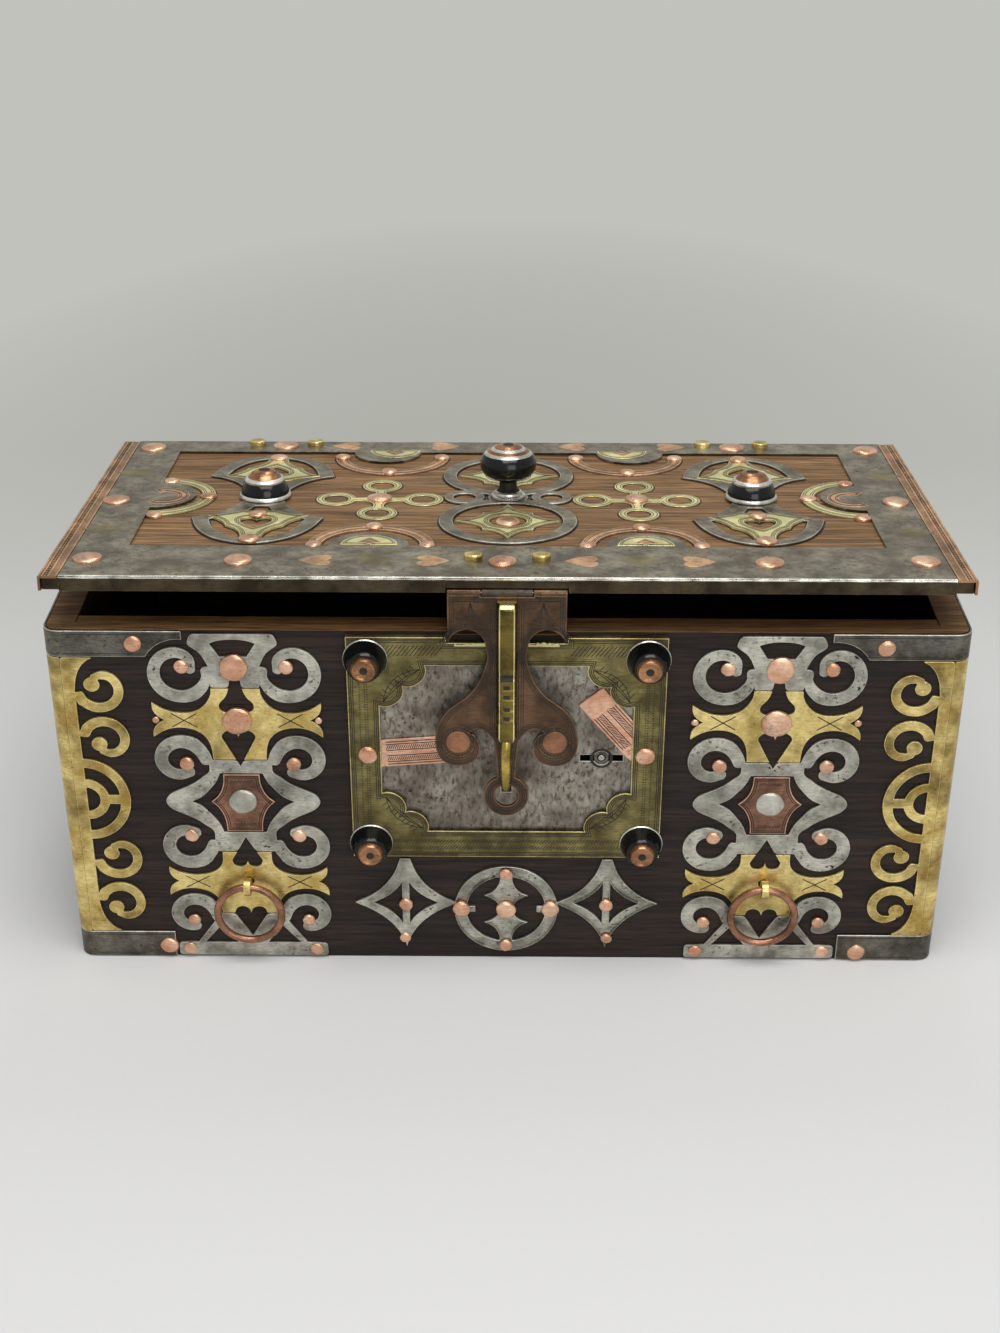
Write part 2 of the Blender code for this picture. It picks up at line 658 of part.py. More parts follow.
def lower_ornament():
    """A ring with two tulips between two lozenges, under the lock."""
    star = [(0, 23.5), (2.2, 23.5)] + bend((2.2, 23.5), (6, 7), (22.5, 0), 4)
    star += bend((22.5, 0), (6, -7), (1.2, -20), 4) + [(0, -24)]
    well = [(0, 13.5)] + bend((0, 13.5), (4, 4.5), (14, 0), 3) + bend((14, 0), (4, -4.5), (0, -13.5), 3)
    tulip = [(0, 18.5), (2.8, 18.5), (2.8, 15)] + bend((2.8, 15), (4, 9), (9.6, 7.2), 3)
    tulip += bend((9.6, 7.2), (4.5, 5.5), (3.2, 2), 3) + [(0, 2)]
    shapes, holes = [circle((0, 0), 22.7, 28)], [circle((0, 0), 17.3, 24)]
    islands = [symmetric(tulip), flipped(symmetric(tulip)), circle((0, 0), 3.6, 12)]
    islands += pair(rectangle(13.5, -1.6, 18.5, 1.6))
    for x in (-44, 44):
        shapes.append(moved(symmetric(star), x, 3.2))
        holes.append(moved(symmetric(well), x, 3.2))
        islands.append(rectangle(x - 1.6, -14, x + 1.6, 20))
    groups = [[moved(o, 0, MIDDLE + ORNAMENT_Z) for o in group] for group in (shapes, holes, islands)]
    finished(sheet("lower_ornament", "front", PLATE_FRONT, PLATE_BACK, *groups), "iron")


# Lock

def lock_plate():
    half = LOCK_HALF - LOCK_RIM - FIT
    body = rectangle(-half, LOCK_LOW + LOCK_RIM + FIT, half, LOCK_NOTCH_FLOOR - MIDDLE - FIT)
    slot = KEYHOLE_SLOT / 2
    holes = [
        circle((KEYHOLE_X, KEYHOLE_Z), KEYHOLE_RADIUS),
        rectangle(KEYHOLE_X - slot, KEYHOLE_Z - KEYHOLE_SLOT_HEIGHT / 2,
                  KEYHOLE_X + slot, KEYHOLE_Z + KEYHOLE_SLOT_HEIGHT / 2),
        rectangle(-CATCH_HALF, CATCH_LOW, CATCH_HALF, CATCH_HIGH),
    ]
    holes += [circle((x, COVER_PIVOT_Z), COVER_HOLE, 12) for x in (-COVER_PIVOT_X, COVER_PIVOT_X)]
    shapes, holes = ([moved(o, 0, MIDDLE) for o in group] for group in ([body], holes))
    finished(sheet("lock_plate", "front", LOCK_PLATE_FRONT, PLATE_BACK, shapes, holes), "iron")


def lock_frame():
    """A brass frame with scalloped corners, turned down round its edge, with the two cover pins."""
    right, left = LOCK_HALF - LOCK_RAIL, LOCK_RAIL - LOCK_HALF
    opening = rectangle(left, LOCK_LOW + LOCK_RAIL, right, LOCK_TOP - LOCK_RAIL)
    notch = rectangle(-LOCK_NOTCH, LOCK_NOTCH_FLOOR - MIDDLE, LOCK_NOTCH, LOCK_TOP + CUT)
    scallops = []
    for level, way in ((LOCK_TOP - LOCK_RAIL, -1), (LOCK_LOW + LOCK_RAIL, 1)):
        for across, down in ((11.3, 1.8), (1.8, 11.3)):
            scallops += pair(circle((right - across, level + way * down), SCALLOP))
    shapes = [rectangle(-LOCK_HALF, LOCK_LOW, LOCK_HALF, LOCK_TOP)]
    groups = [[moved(o, 0, MIDDLE) for o in group] for group in (shapes, [opening, notch], scallops)]
    frame = sheet("lock_frame", "front", LOCK_FRONT, PLATE_BACK, *groups)
    inside = LOCK_HALF - LOCK_RIM
    rebate = block("rebate", (-inside, LOCK_SKIN_BACK, MIDDLE + LOCK_LOW + LOCK_RIM),
                   (inside, FRONT + CUT, MIDDLE + LOCK_TOP - LOCK_RIM))
    cut(frame, rebate)
    pins = []
    for side in (-1, 1):
        foot = (side * COVER_PIVOT_X, 0, MIDDLE + COVER_PIVOT_Z)
        pins.append(rod("pin", COVER_PIN, -FRONT - WALL / 2 + FIT, -LOCK_FRONT - FIT, "Y", foot, 12))
    finished(join(frame, *pins), "brass")


def lock_knobs():
    profile = [(KNOB_RADIUS, 0), (KNOB_RADIUS, 1.3), (KNOB_RADIUS - 0.6, 1.5), (KNOB_RADIUS - 1.2, 5.5),
               (KNOB_CAP + 0.9, KNOB_HEIGHT - 1.8), (KNOB_CAP, KNOB_HEIGHT - 1.2),
               (KNOB_CAP - 0.5, KNOB_HEIGHT - 0.4), (KNOB_CAP - 2.4, KNOB_HEIGHT)]
    for level, z in (("upper", KNOB_TOP_Z), ("lower", KNOB_LOW_Z)):
        for hand, side in (("left", -1), ("right", 1)):
            foot = (side * KNOB_X, LOCK_FRONT - FIT, MIDDLE + z)
            finished(turned(f"{level}_{hand}_lock_knob", profile, "Y", foot, steps=16), "ebony")


def lock_covers():
    """Two copper strips between plate and frame that swing on the frame's pins."""
    strip = arc((0, 0), 5.3, 100, 260, 6)
    strip += [(4, -COVER_WIDTH / 2), (COVER_LENGTH, -COVER_WIDTH / 2)]
    strip += [(COVER_LENGTH, COVER_WIDTH / 2), (4, COVER_WIDTH / 2)]
    covers = (
        ("left_cover", -COVER_PIVOT_X, LEFT_COVER_TILT),
        ("keyhole_cover", COVER_PIVOT_X, KEYHOLE_COVER_TILT),
    )
    for name, x, tilt in covers:
        pivot = empty(f"{name}_pivot", (x, COVER_BACK, MIDDLE + COVER_PIVOT_Z))
        outline = turned_outline(strip, tilt, (0, 0))
        cover = sheet(name, "front", -COVER, 0, [outline], [circle((0, 0), COVER_HOLE, 12)])
        finished(cover, "copper", pivot)


def lock_works():
    """The bolt that slides through the hasp's staple, and the pin that the hollow key turns on."""
    depth = PLATE_BACK + HASP_GAP
    middle = empty("lock_bolt_slide", (BOLT_LEFT + BOLT_LENGTH / 2, depth, MIDDLE + BOLT_Z))
    half = BOLT_HEIGHT / 2
    notch = KEYHOLE_X - BOLT_LEFT - BOLT_LENGTH / 2
    bar = rectangle(-BOLT_LENGTH / 2, -half, BOLT_LENGTH / 2, half)
    bite = rectangle(notch - 5, half - 2, notch, half + CUT)
    finished(sheet("lock_bolt", "front", 0, BOLT_THICK, [bar], [bite]), "iron", middle)
    foot = (KEYHOLE_X, 0, MIDDLE + KEYHOLE_Z)
    finished(rod("keyhole_pin", KEY_PIN, -FRONT - WALL + 2 * FIT, -LOCK_PLATE_FRONT, "Y", foot), "iron")


# Drop rings

def drop_rings():
    for hand, side in (("left", -1), ("right", 1)):
        x, z = side * COLUMN_X, MIDDLE + RING_Z
        loop = circle((EYE_Y, z), EYE_HOLE + EYE_WALL, 16)
        shank = rectangle(EYE_Y + EYE_HOLE + EYE_WALL / 2, z - SHANK / 2, FRONT + WALL - FIT, z + SHANK / 2)
        hole = circle((EYE_Y, z), EYE_HOLE, 16)
        eye = sheet(f"{hand}_ring_eye", "side", x - EYE_WIDTH / 2, x + EYE_WIDTH / 2, [loop, shank], [hole])
        finished(eye, "brass")
        pivot = empty(f"{hand}_ring_pivot", (x, EYE_Y, z - EYE_HOLE + RING_WIRE + FIT))
        wire = [polar((RING_RADIUS, 0), RING_WIRE, 45 * i) for i in range(8)]
        ring = turned(f"{hand}_ring", wire, "Y", (0, 0, -RING_RADIUS), closed=True)
        finished(ring, "copper", pivot)


# Lid

def tab_spots():
    """The middles of the six tabs that hold the hinge leaves and the hasp's leaf to the lid."""
    spots = []
    for middle, y in ((-HINGE_X, BACK_TAB_Y), (HINGE_X, BACK_TAB_Y), (0, HASP_TAB_Y)):
        spots += [(middle - TAB_SPACING / 2, y), (middle + TAB_SPACING / 2, y)]
    return spots


def tab_outline(spot, room=0.0):
    half_x, half_y = TAB_WIDTH / 2 + room, TAB_DEPTH / 2 + room
    return rectangle(spot[0] - half_x, spot[1] - half_y, spot[0] + half_x, spot[1] + half_y)


def lid_board(lid):
    half = LID_HALF - PLATE - FIT
    outline = rectangle(-half, LID_FRONT + PLATE + FIT, half, LID_BACK)
    holes = [tab_outline(spot, FIT) for spot in tab_spots()]
    holes += [circle((x, PANEL_Y), KNOB_TENON + FIT, 14) for x in FRAME_XS]
    board = sheet("lid_board", "plan", LID_UNDER, LID_TOP, [outline], holes)
    rebate = block("rebate", (-LOCK_NOTCH, LID_FRONT - CUT, LID_UNDER - CUT),
                   (LOCK_NOTCH, HASP_AXIS_Y + HASP_KNUCKLE + 3 * FIT, HASP_AXIS_Z + HASP_KNUCKLE + FIT))
    finished(cut(board, rebate), "lid_wood", lid)


def lid_border(lid):
    """The iron sheet round the top of the lid, with round lobes, turned down along the front."""
    half = LID_HALF - END_CAP - FIT
    side = LID_HALF - LID_BORDER_SIDE
    outer = rectangle(-half, LID_FRONT, half, LID_BACK)
    well = rectangle(-side, PANEL_LOW, side, PANEL_HIGH)
    lobes = pair(circle((side, PANEL_Y), LOBE_RADIUS + 1, 18))
    lobes += pair(circle((LOBE_X, PANEL_LOW), LOBE_RADIUS, 18))
    lobes += pair(circle((LOBE_X, PANEL_HIGH), LID_BORDER_BACK - 1, 18))
    border = sheet("lid_border", "plan", BORDER_LOW, BORDER_TOP, [outer], [well], lobes)
    skirt = block("skirt", (-half, LID_FRONT, LID_UNDER), (half, LID_FRONT + PLATE, BORDER_TOP))
    join(border, skirt)
    notch = block("notch", (-LOCK_NOTCH, LID_FRONT - CUT, LID_UNDER - CUT),
                  (LOCK_NOTCH, LID_FRONT + PLATE + FIT, BORDER_LOW))
    holes = [tab_outline(spot, FIT) for spot in tab_spots()]
    tabs = [sheet("tab_hole", "plan", LID_UNDER, BORDER_TOP + CUT, [hole]) for hole in holes]
    finished(cut(border, notch, *tabs), "iron", lid)


def lid_end_caps(lid):
    inner, skin = LID_HALF - END_CAP, LID_HALF - PLATE
    outline = [(inner, BORDER_LOW), (skin, BORDER_LOW), (skin, LID_UNDER),
               (LID_HALF, LID_UNDER), (LID_HALF, BORDER_TOP), (inner, BORDER_TOP)]
    for hand, shape in (("left", mirrored(outline)), ("right", outline)):
        finished(sheet(f"{hand}_lid_cap", "front", LID_FRONT, LID_BACK, [shape]), "copper", lid)


def side_frame():
    """Two pointed bows that meet at the knob."""
    wing, tip = (28.5, FRAME_END - 33.5), (0, FRAME_END)
    upper = [tip] + bend(tip, (23, FRAME_END - 2.5), wing, 6) + bend(wing, (11, wing[1] - 7), (8, 0), 5)
    right = upper + flipped(upper)[1:]
    wing, tip = (21, FRAME_END - 32), (0, FRAME_END - 5.5)
    well = [tip] + bend(tip, (17, FRAME_END - 7.5), wing, 5)
    well += bend(wing, (6, wing[1] - 4.5), (3, wing[1] - 17.5), 4) + [(0, wing[1] - 17.5)]
    return [symmetric(right)], [symmetric(well), flipped(symmetric(well))]


def centre_frame():
    """Two round frames that meet at the knob, with a small loop on each side."""
    apart = 2.5
    radius = (FRAME_END - 1 - apart) / 2
    middle = (0, apart + radius)
    rounds = [circle(middle, radius, 28), flipped(circle(middle, radius, 28))]
    wells = [circle(middle, radius - 6, 24), flipped(circle(middle, radius - 6, 24))]
    loops, eyes = pair(circle((19.5, 0), 9, 16)), pair(circle((19.5, 0), 5, 12))
    return rounds + loops + [circle((0, 0), 9, 16)], wells + eyes


def lid_frames(lid):
    low = LID_TOP + FIT
    kinds = (side_frame, centre_frame, side_frame)
    for hand, x, outlines in zip(("left", "centre", "right"), FRAME_XS, kinds):
        shapes, holes = outlines()
        holes = holes + [circle((0, 0), KNOB_TENON + FIT, 14)]
        shapes, holes = ([moved(o, x, PANEL_Y) for o in group] for group in (shapes, holes))
        finished(sheet(f"{hand}_lid_frame", "plan", low, low + INLAY, shapes, holes), "iron", lid)


def lid_knobs(lid):
    tenon = [(KNOB_TENON, -LID_BOARD), (KNOB_TENON, 0)]
    low = [(11.6, 0), (11.6, 1.4), (10.5, 1.8), (10.6, 3), (9.7, 7.2), (9.3, 8), (8.0, 9.2), (3, 10.2)]
    tall = [(7.7, 0), (7.7, 1.2), (5.6, 2.6), (3.9, 5), (3.9, 8.2), (8, 9.6), (12, 12.4), (12.8, 15),
            (12.6, 17.4), (11.2, 19.6), (8, 22.2), (3, 24.6)]
    foot_z = LID_TOP + 2 * FIT + INLAY
    for hand, x, profile in zip(("left", "centre", "right"), FRAME_XS, (low, tall, low)):
        knob = turned(f"{hand}_lid_knob", tenon + profile, "Z", (x, PANEL_Y, foot_z), steps=16)
        finished(knob, "ebony", lid)


# Hinges

def leaf(name, x, axis, wide, back, knuckle, middle, spots):
    """A leaf under the lid: a plate, a neck to the middle knuckle and two tabs up through the lid."""
    near = axis[0] + (1 if back > axis[0] else -1) * (knuckle + 3 * FIT)
    front, rear = sorted((near, back))
    half = middle / 2 - KNUCKLE_GAP / 2
    plate = block(name, (x - wide, front, LEAF_LOW), (x + wide, rear, LEAF_HIGH))
    front, rear = sorted((axis[0], near + (near - axis[0]) / 2))
    neck = block("neck", (x - half, front, LEAF_LOW), (x + half, rear, LEAF_HIGH))
    barrel = rod("barrel", knuckle, -half, half, "X", (x, *axis))
    tabs = [sheet("tab", "plan", LEAF_LOW + FIT, BORDER_TOP + TAB_PROUD, [tab_outline(s)]) for s in spots]
    return join(plate, neck, barrel, *tabs)


def back_hinges(lid):
    spots = tab_spots()
    for hand, x, own in (("left", -HINGE_X, spots[0:2]), ("right", HINGE_X, spots[2:4])):
        upper = leaf(f"{hand}_hinge_lid_leaf", x, (0, 0), HINGE_LEAF / 2, LID_BACK - WALL,
                     KNUCKLE, MIDDLE_KNUCKLE, own)
        finished(cut(upper, rod("bore", BORE, -HINGE_LEAF, HINGE_LEAF, "X", (x, 0, 0))), "iron", lid)
        axis = (x, HINGE_Y, HINGE_Z)
        half, gap = HINGE_LEAF / 2, MIDDLE_KNUCKLE / 2 + KNUCKLE_GAP / 2
        outline = rectangle(x - half, HINGE_Z - HINGE_DROP, x + half, HINGE_Z)
        hollow = rectangle(x - gap, HINGE_Z - KNUCKLE - 4 * FIT, x + gap, HINGE_Z + CUT)
        near = BACK + FIT
        lower = sheet(f"{hand}_hinge_body_leaf", "front", near, near + BACK_LEAF, [outline], [hollow])
        join(lower, *(rod("barrel", KNUCKLE, *ends, "X", axis) for ends in ((-half, -gap), (gap, half))))
        finished(cut(lower, rod("bore", BORE, -HINGE_LEAF, HINGE_LEAF, "X", axis)), "iron")
        head, end = PIN + 0.8, half + FIT
        profile = [(head, -end - 0.9), (head, -end), (PIN, -end), (PIN, end), (head, end), (head, end + 0.9)]
        finished(turned(f"{hand}_hinge_pin", profile, "X", axis, steps=12), "iron")


# Hasp

def hasp_outline():
    cutout = (16.4, -23.3)
    right = [(0, HASP_TOP), (HASP_HALF, HASP_TOP)] + arc(cutout, 7.8, 6, 180, 8)
    right += [(8.0, -27)] + bend((8.0, -27), (10.2, -42), (20.6, -48.2), 5)
    right += bend((20.6, -48.2), (29.4, -54), (29.6, -66), 4) + bend((29.6, -66), (29, -76.4), (20, -76.5), 4)
    right += bend((20, -76.5), (11, -76), (10.8, -68), 4) + bend((10.8, -68), (11.2, -62.5), (15.8, -61), 3)
    right += bend((15.8, -61), (9, -56.6), (5, -66), 4) + [(3.8, -79), (3.8, -84), (0, -84)]
    return symmetric(right)


def hasp(lid):
    swing = empty("hasp_swing", (0, HASP_AXIS_Y, HASP_AXIS_Z), lid)
    inner = leaf("hasp_leaf", 0, (HASP_AXIS_Y, HASP_AXIS_Z), HASP_HALF - FIT, LID_FRONT + HASP_LEAF_BACK,
                 HASP_KNUCKLE, HASP_MIDDLE, tab_spots()[4:6])
    foot = (0, HASP_AXIS_Y, HASP_AXIS_Z)
    finished(cut(inner, rod("bore", HASP_BORE, -HASP_HALF, HASP_HALF, "X", foot)), "iron", lid)
    end = HASP_HALF - FIT
    finished(rod("hasp_pin", HASP_PIN, -end, end, "X", (0, 0, 0)), "iron", swing)
    ring = (0, HASP_RING_Z)
    shapes, holes = [hasp_outline(), circle(ring, 9.4, 20)], [circle(ring, 4.9, 14)]
    plate = sheet("hasp_plate", "front", -HASP_KNUCKLE, HASP_PLATE - HASP_KNUCKLE, shapes, holes)
    gap = HASP_MIDDLE / 2 + KNUCKLE_GAP / 2
    clear = rod("clear", HASP_KNUCKLE + FIT, -gap, gap, "X", (0, 0, 0), 16)
    cut(plate, clear)
    barrel_ends = ((-HASP_HALF, -gap), (gap, HASP_HALF))
    join(plate, *(rod("barrel", HASP_KNUCKLE, *ends, "X", (0, 0, 0), 16) for ends in barrel_ends))
    cut(plate, rod("bore", HASP_BORE, -2 * HASP_HALF, 2 * HASP_HALF, "X", (0, 0, 0)))
    finished(plate, "copper", swing)
    hasp_bar(swing)
    hasp_staple(swing)


def hasp_bar(swing):
    """The brass handle on the hasp: a six-sided bar that ends in a hooked tail."""
    back, half = -HASP_KNUCKLE - FIT, BAR_WIDTH / 2
    section = [(-half, back), (-half, back - BAR_THICK * 0.45), (-half / 2, back - BAR_THICK),
               (half / 2, back - BAR_THICK), (half, back - BAR_THICK * 0.45), (half, back)]
    bar = sheet("hasp_bar", "plan", BAR_LOW, BAR_TOP, [section])
    start, tip = (back - BAR_THICK, BAR_LOW + 2), (back - 1.2, BAR_LOW - TAIL)
    tail = [start] + bend(start, (back - BAR_THICK - 3, BAR_LOW - TAIL * 0.55), tip, 6)
    rear = (back - BAR_THICK + 3, BAR_LOW + 2)
    inner = [rear] + bend(rear, (back - BAR_THICK, BAR_LOW - TAIL * 0.55), (tip[0] + 0.8, tip[1] + 1.2), 6)
    finished(join(bar, sheet("tail", "side", -2, 2, [tail + inner[::-1]])), "brass", swing)


def hasp_staple(swing):
    """The loop behind the hasp that the lock's bolt goes through."""
    near = HASP_PLATE - HASP_KNUCKLE + FIT
    far = HASP_PLATE - HASP_KNUCKLE + STAPLE_REACH
    loop = rectangle(near, STAPLE_Z - STAPLE_HALF, far, STAPLE_Z + STAPLE_HALF)
    inside = STAPLE_HALF - STAPLE_WIRE
    eye = rectangle(near - CUT, STAPLE_Z - inside, far - STAPLE_WIRE, STAPLE_Z + inside)
    width = STAPLE_WIDTH / 2
    finished(sheet("hasp_staple", "side", -width, width, [loop], [eye]), "iron", swing)


def main():
    for obj in list(bpy.data.objects):
        bpy.data.objects.remove(obj)
    front_board()
    back_board()
    end_boards_and_base()
    straps()
    corner_scrolls()
    columns()
    lower_ornament()
    lock_plate()
    lock_frame()
    lock_knobs()
    lock_covers()
    lock_works()
    drop_rings()
    lid = empty("lid_hinge", (0, HINGE_Y, HINGE_Z), tilt=-LID_AJAR)
    lid_board(lid)
    lid_border(lid)
    lid_end_caps(lid)
    lid_frames(lid)
    lid_knobs(lid)
    back_hinges(lid)
    hasp(lid)


main()
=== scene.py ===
"""Looks of the inlaid box: worn metals and woods, rivets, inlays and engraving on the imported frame.

Sizes are in millimetres. A plane maps (across, up, out) in millimetres to metres in the row frame:
FRONT lies on the front board, LID on the lid with its up counted from the front edge, HASP on the hasp.
"""

import json
import math
import random

import bmesh
import bpy
from mathutils import Matrix, Vector
from mathutils.geometry import delaunay_2d_cdt

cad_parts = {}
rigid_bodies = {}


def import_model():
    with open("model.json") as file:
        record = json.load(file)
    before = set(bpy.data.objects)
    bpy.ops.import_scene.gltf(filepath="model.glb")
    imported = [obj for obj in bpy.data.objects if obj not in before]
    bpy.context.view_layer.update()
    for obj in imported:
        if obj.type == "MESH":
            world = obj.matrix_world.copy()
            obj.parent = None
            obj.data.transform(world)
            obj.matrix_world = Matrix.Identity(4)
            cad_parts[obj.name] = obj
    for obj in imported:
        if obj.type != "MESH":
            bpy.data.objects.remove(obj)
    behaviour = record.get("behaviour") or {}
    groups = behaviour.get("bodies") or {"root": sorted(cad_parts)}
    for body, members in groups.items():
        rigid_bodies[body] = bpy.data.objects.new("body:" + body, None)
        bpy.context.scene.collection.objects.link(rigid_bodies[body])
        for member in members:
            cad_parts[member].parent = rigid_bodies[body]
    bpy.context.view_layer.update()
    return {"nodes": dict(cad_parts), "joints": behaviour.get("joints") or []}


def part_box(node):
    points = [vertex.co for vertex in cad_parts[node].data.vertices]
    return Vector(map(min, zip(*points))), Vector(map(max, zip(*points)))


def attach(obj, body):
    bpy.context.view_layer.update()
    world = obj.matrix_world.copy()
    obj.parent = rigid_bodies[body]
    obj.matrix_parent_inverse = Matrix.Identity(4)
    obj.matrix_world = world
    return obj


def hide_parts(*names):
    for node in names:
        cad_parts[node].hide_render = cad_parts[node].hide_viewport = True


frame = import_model()

MM = 0.001
JOINTS = {joint["name"]: joint for joint in frame["joints"]}
LID_AJAR = math.radians(-JOINTS["lid_hinge"]["range_deg"][0])


# Planes

def plane_at(origin, across, up):
    out = across.cross(up)
    plane = Matrix.Identity(4)
    for column, axis in enumerate((across, up, out)):
        for row in range(3):
            plane[row][column] = axis[row] * MM
    plane.translation = origin
    return plane


def spots_on(node, plane):
    """The node's vertices as (across, up, out) on a plane."""
    back = plane.inverted()
    return [back @ vertex.co for vertex in frame["nodes"][node].data.vertices]


def level(node, plane):
    return max(spot.z for spot in spots_on(node, plane))


X_AXIS, Y_AXIS, Z_AXIS = Vector((1, 0, 0)), Vector((0, 1, 0)), Vector((0, 0, 1))
LID_UP = Vector((0, math.cos(LID_AJAR), -math.sin(LID_AJAR)))
LID_OUT = X_AXIS.cross(LID_UP)
LID_HINGE = plane_at(Vector(JOINTS["lid_hinge"]["pos_m"]), X_AXIS, LID_UP)
LID_EDGE = min(spot.y for spot in spots_on("lid_border", LID_HINGE))
LID = plane_at(LID_HINGE @ Vector((0, LID_EDGE, 0)), X_AXIS, LID_UP)
FRONT = plane_at(Vector((0, 0, 0)), X_AXIS, Z_AXIS)
PLAN = plane_at(Vector((0, 0, 0)), X_AXIS, Y_AXIS)
BACK = plane_at(Vector((0, 0, 0)), -X_AXIS, Z_AXIS)
HASP = plane_at(Vector(JOINTS["hasp_hinge"]["pos_m"]), X_AXIS, LID_OUT)
HASP_AXLE = plane_at(Vector(JOINTS["hasp_hinge"]["pos_m"]), LID_UP, LID_OUT)

# Places read from the frame
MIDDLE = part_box("front_board")[1].z / MM / 2
COLUMN_X = JOINTS["right_ring_pivot"]["pos_m"][0] / MM
PLATE_TOP = level("left_upper_scrolls", FRONT)
LOCK_TOP = level("lock_plate", FRONT)
RAIL_TOP = level("lock_frame", FRONT)
BORDER_TOP = level("lid_border", LID)
PANEL_TOP = level("lid_board", LID)
FRAME_TOP = level("left_lid_frame", LID)
KNOB_SPOTS = spots_on("right_lid_knob", LID)
PANEL_MIDDLE = (min(s.y for s in KNOB_SPOTS) + max(s.y for s in KNOB_SPOTS)) / 2
FRAME_X = (min(s.x for s in KNOB_SPOTS) + max(s.x for s in KNOB_SPOTS)) / 2
LID_DEPTH = max(spot.y for spot in spots_on("lid_border", LID))

# Sizes of the dressing
PLATE_BEVEL = 0.35
CORNER_BEND = 6.3
WORN_CORNER = 1.7
WIDER_BAND = 0.75
WOOD_BEVEL = 0.9
LINE = 0.4
FINE_LINE = 0.34
LINE_PROUD = 0.04
LINE_DEPTH = 0.1
INLAY = 1.1


# Finishes

def tone(red, green, blue):
    """A colour as it looks on a screen, in parts of 255, as the shader's linear colour."""
    linear = []
    for part in (red, green, blue):
        share = part / 255
        linear.append(share / 12.92 if share <= 0.04045 else ((share + 0.055) / 1.055) ** 2.4)
    return (*linear, 1.0)


def dimmed(colour, share):
    return (*(part * share for part in colour[:3]), 1.0)


class Finish:
    """A material being made: one Principled shader and the nodes that vary it."""

    def __init__(self, name, metallic):
        self.material = bpy.data.materials.new(name)
        self.material.use_nodes = True
        self.nodes = self.material.node_tree.nodes
        self.links = self.material.node_tree.links
        self.shader = self.nodes["Principled BSDF"]
        self.shader.inputs["Metallic"].default_value = metallic
        self.place = self.nodes.new("ShaderNodeTexCoord").outputs["Object"]

    def node(self, kind, inputs, **settings):
        made = self.nodes.new(kind)
        for key, value in settings.items():
            setattr(made, key, value)
        for key, value in inputs.items():
            if isinstance(value, bpy.types.NodeSocket):
                self.links.new(value, made.inputs[key])
            else:
                made.inputs[key].default_value = value
        return made

    def noise(self, scale, stretch=(1, 1, 1), detail=4.0, shift=0.0):
        """Noise with so many spots to the metre, squeezed along each axis by the stretch."""
        spread = self.node("ShaderNodeVectorMath", {0: self.place, 1: stretch}, operation="MULTIPLY")
        moved = self.node("ShaderNodeVectorMath", {0: spread.outputs[0], 1: (shift,) * 3}, operation="ADD")
        inputs = {"Vector": moved.outputs[0], "Scale": scale, "Detail": detail, "Roughness": 0.6}
        return self.node("ShaderNodeTexNoise", inputs).outputs["Fac"]

    def ramp(self, value, low, high, to_low=0.0, to_high=1.0):
        inputs = {"Value": value, "From Min": low, "From Max": high, "To Min": to_low, "To Max": to_high}
        return self.node("ShaderNodeMapRange", inputs).outputs["Result"]

    def mix(self, share, one, two):
        return self.node("ShaderNodeMix", {0: share, 6: one, 7: two}, data_type="RGBA").outputs[2]

    def math(self, operation, one, two):
        return self.node("ShaderNodeMath", {0: one, 1: two}, operation=operation).outputs[0]

    def done(self, colour, roughness, height, depth):
        """Joins the colour and roughness to the shader, with bumps of a depth in millimetres."""
        bump = self.node("ShaderNodeBump", {"Height": height, "Distance": depth * MM, "Strength": 0.7})
        self.links.new(colour, self.shader.inputs["Base Color"])
        self.links.new(roughness, self.shader.inputs["Roughness"])
        self.links.new(bump.outputs["Normal"], self.shader.inputs["Normal"])
        return self.material


RUST = tone(84, 58, 40)
TARNISH = tone(92, 76, 42)
SOOT = tone(44, 36, 30)
ACROSS = (1, 1, 6)
ALONG = (6, 1, 1)


def metal(name, pale, deep, stain=SOOT, stained=0.3, mottled=0.1, pitted=0.4, roughness=0.38, brushed=ACROSS,
          metallic=0.85, specular=0.5):
    """A worn metal: clouded between two colours, stained, mottled, pitted and brushed along one way."""
    finish = Finish(name, metallic)
    finish.shader.inputs["Specular IOR Level"].default_value = specular
    cloud = finish.noise(80, detail=7)
    colour = finish.mix(finish.ramp(cloud, 0.38, 0.62), deep, pale)
    blots = finish.ramp(finish.noise(46, detail=6, shift=3), 0.47, 0.68, 0, stained)
    colour = finish.mix(blots, colour, stain)
    specks = finish.ramp(finish.noise(300, brushed, detail=8, shift=9), 0.48, 0.66, 0, mottled)
    colour = finish.mix(specks, colour, dimmed(stain, 0.7))
    clusters = finish.ramp(finish.noise(45, detail=2, shift=7), 0.4, 0.6)
    spots = finish.ramp(finish.noise(560, detail=4, shift=1), 0.57, 0.66)
    pits = finish.math("MULTIPLY", finish.math("MULTIPLY", spots, clusters), pitted)
    colour = finish.mix(pits, colour, dimmed(stain, 0.3))
    lines = finish.noise(230, brushed, detail=5, shift=5)
    colour = finish.mix(finish.ramp(lines, 0.4, 0.68, 0, 0.35), colour, deep)
    rough = finish.ramp(finish.math("ADD", cloud, lines), 0.7, 1.3, roughness - 0.12, roughness + 0.14)
    waves = finish.math("MULTIPLY", finish.noise(60, detail=1, shift=11), 2.0)
    height = finish.math("ADD", waves, finish.math("MULTIPLY", lines, 0.35))
    return finish.done(colour, rough, finish.math("SUBTRACT", height, pits), 0.22)


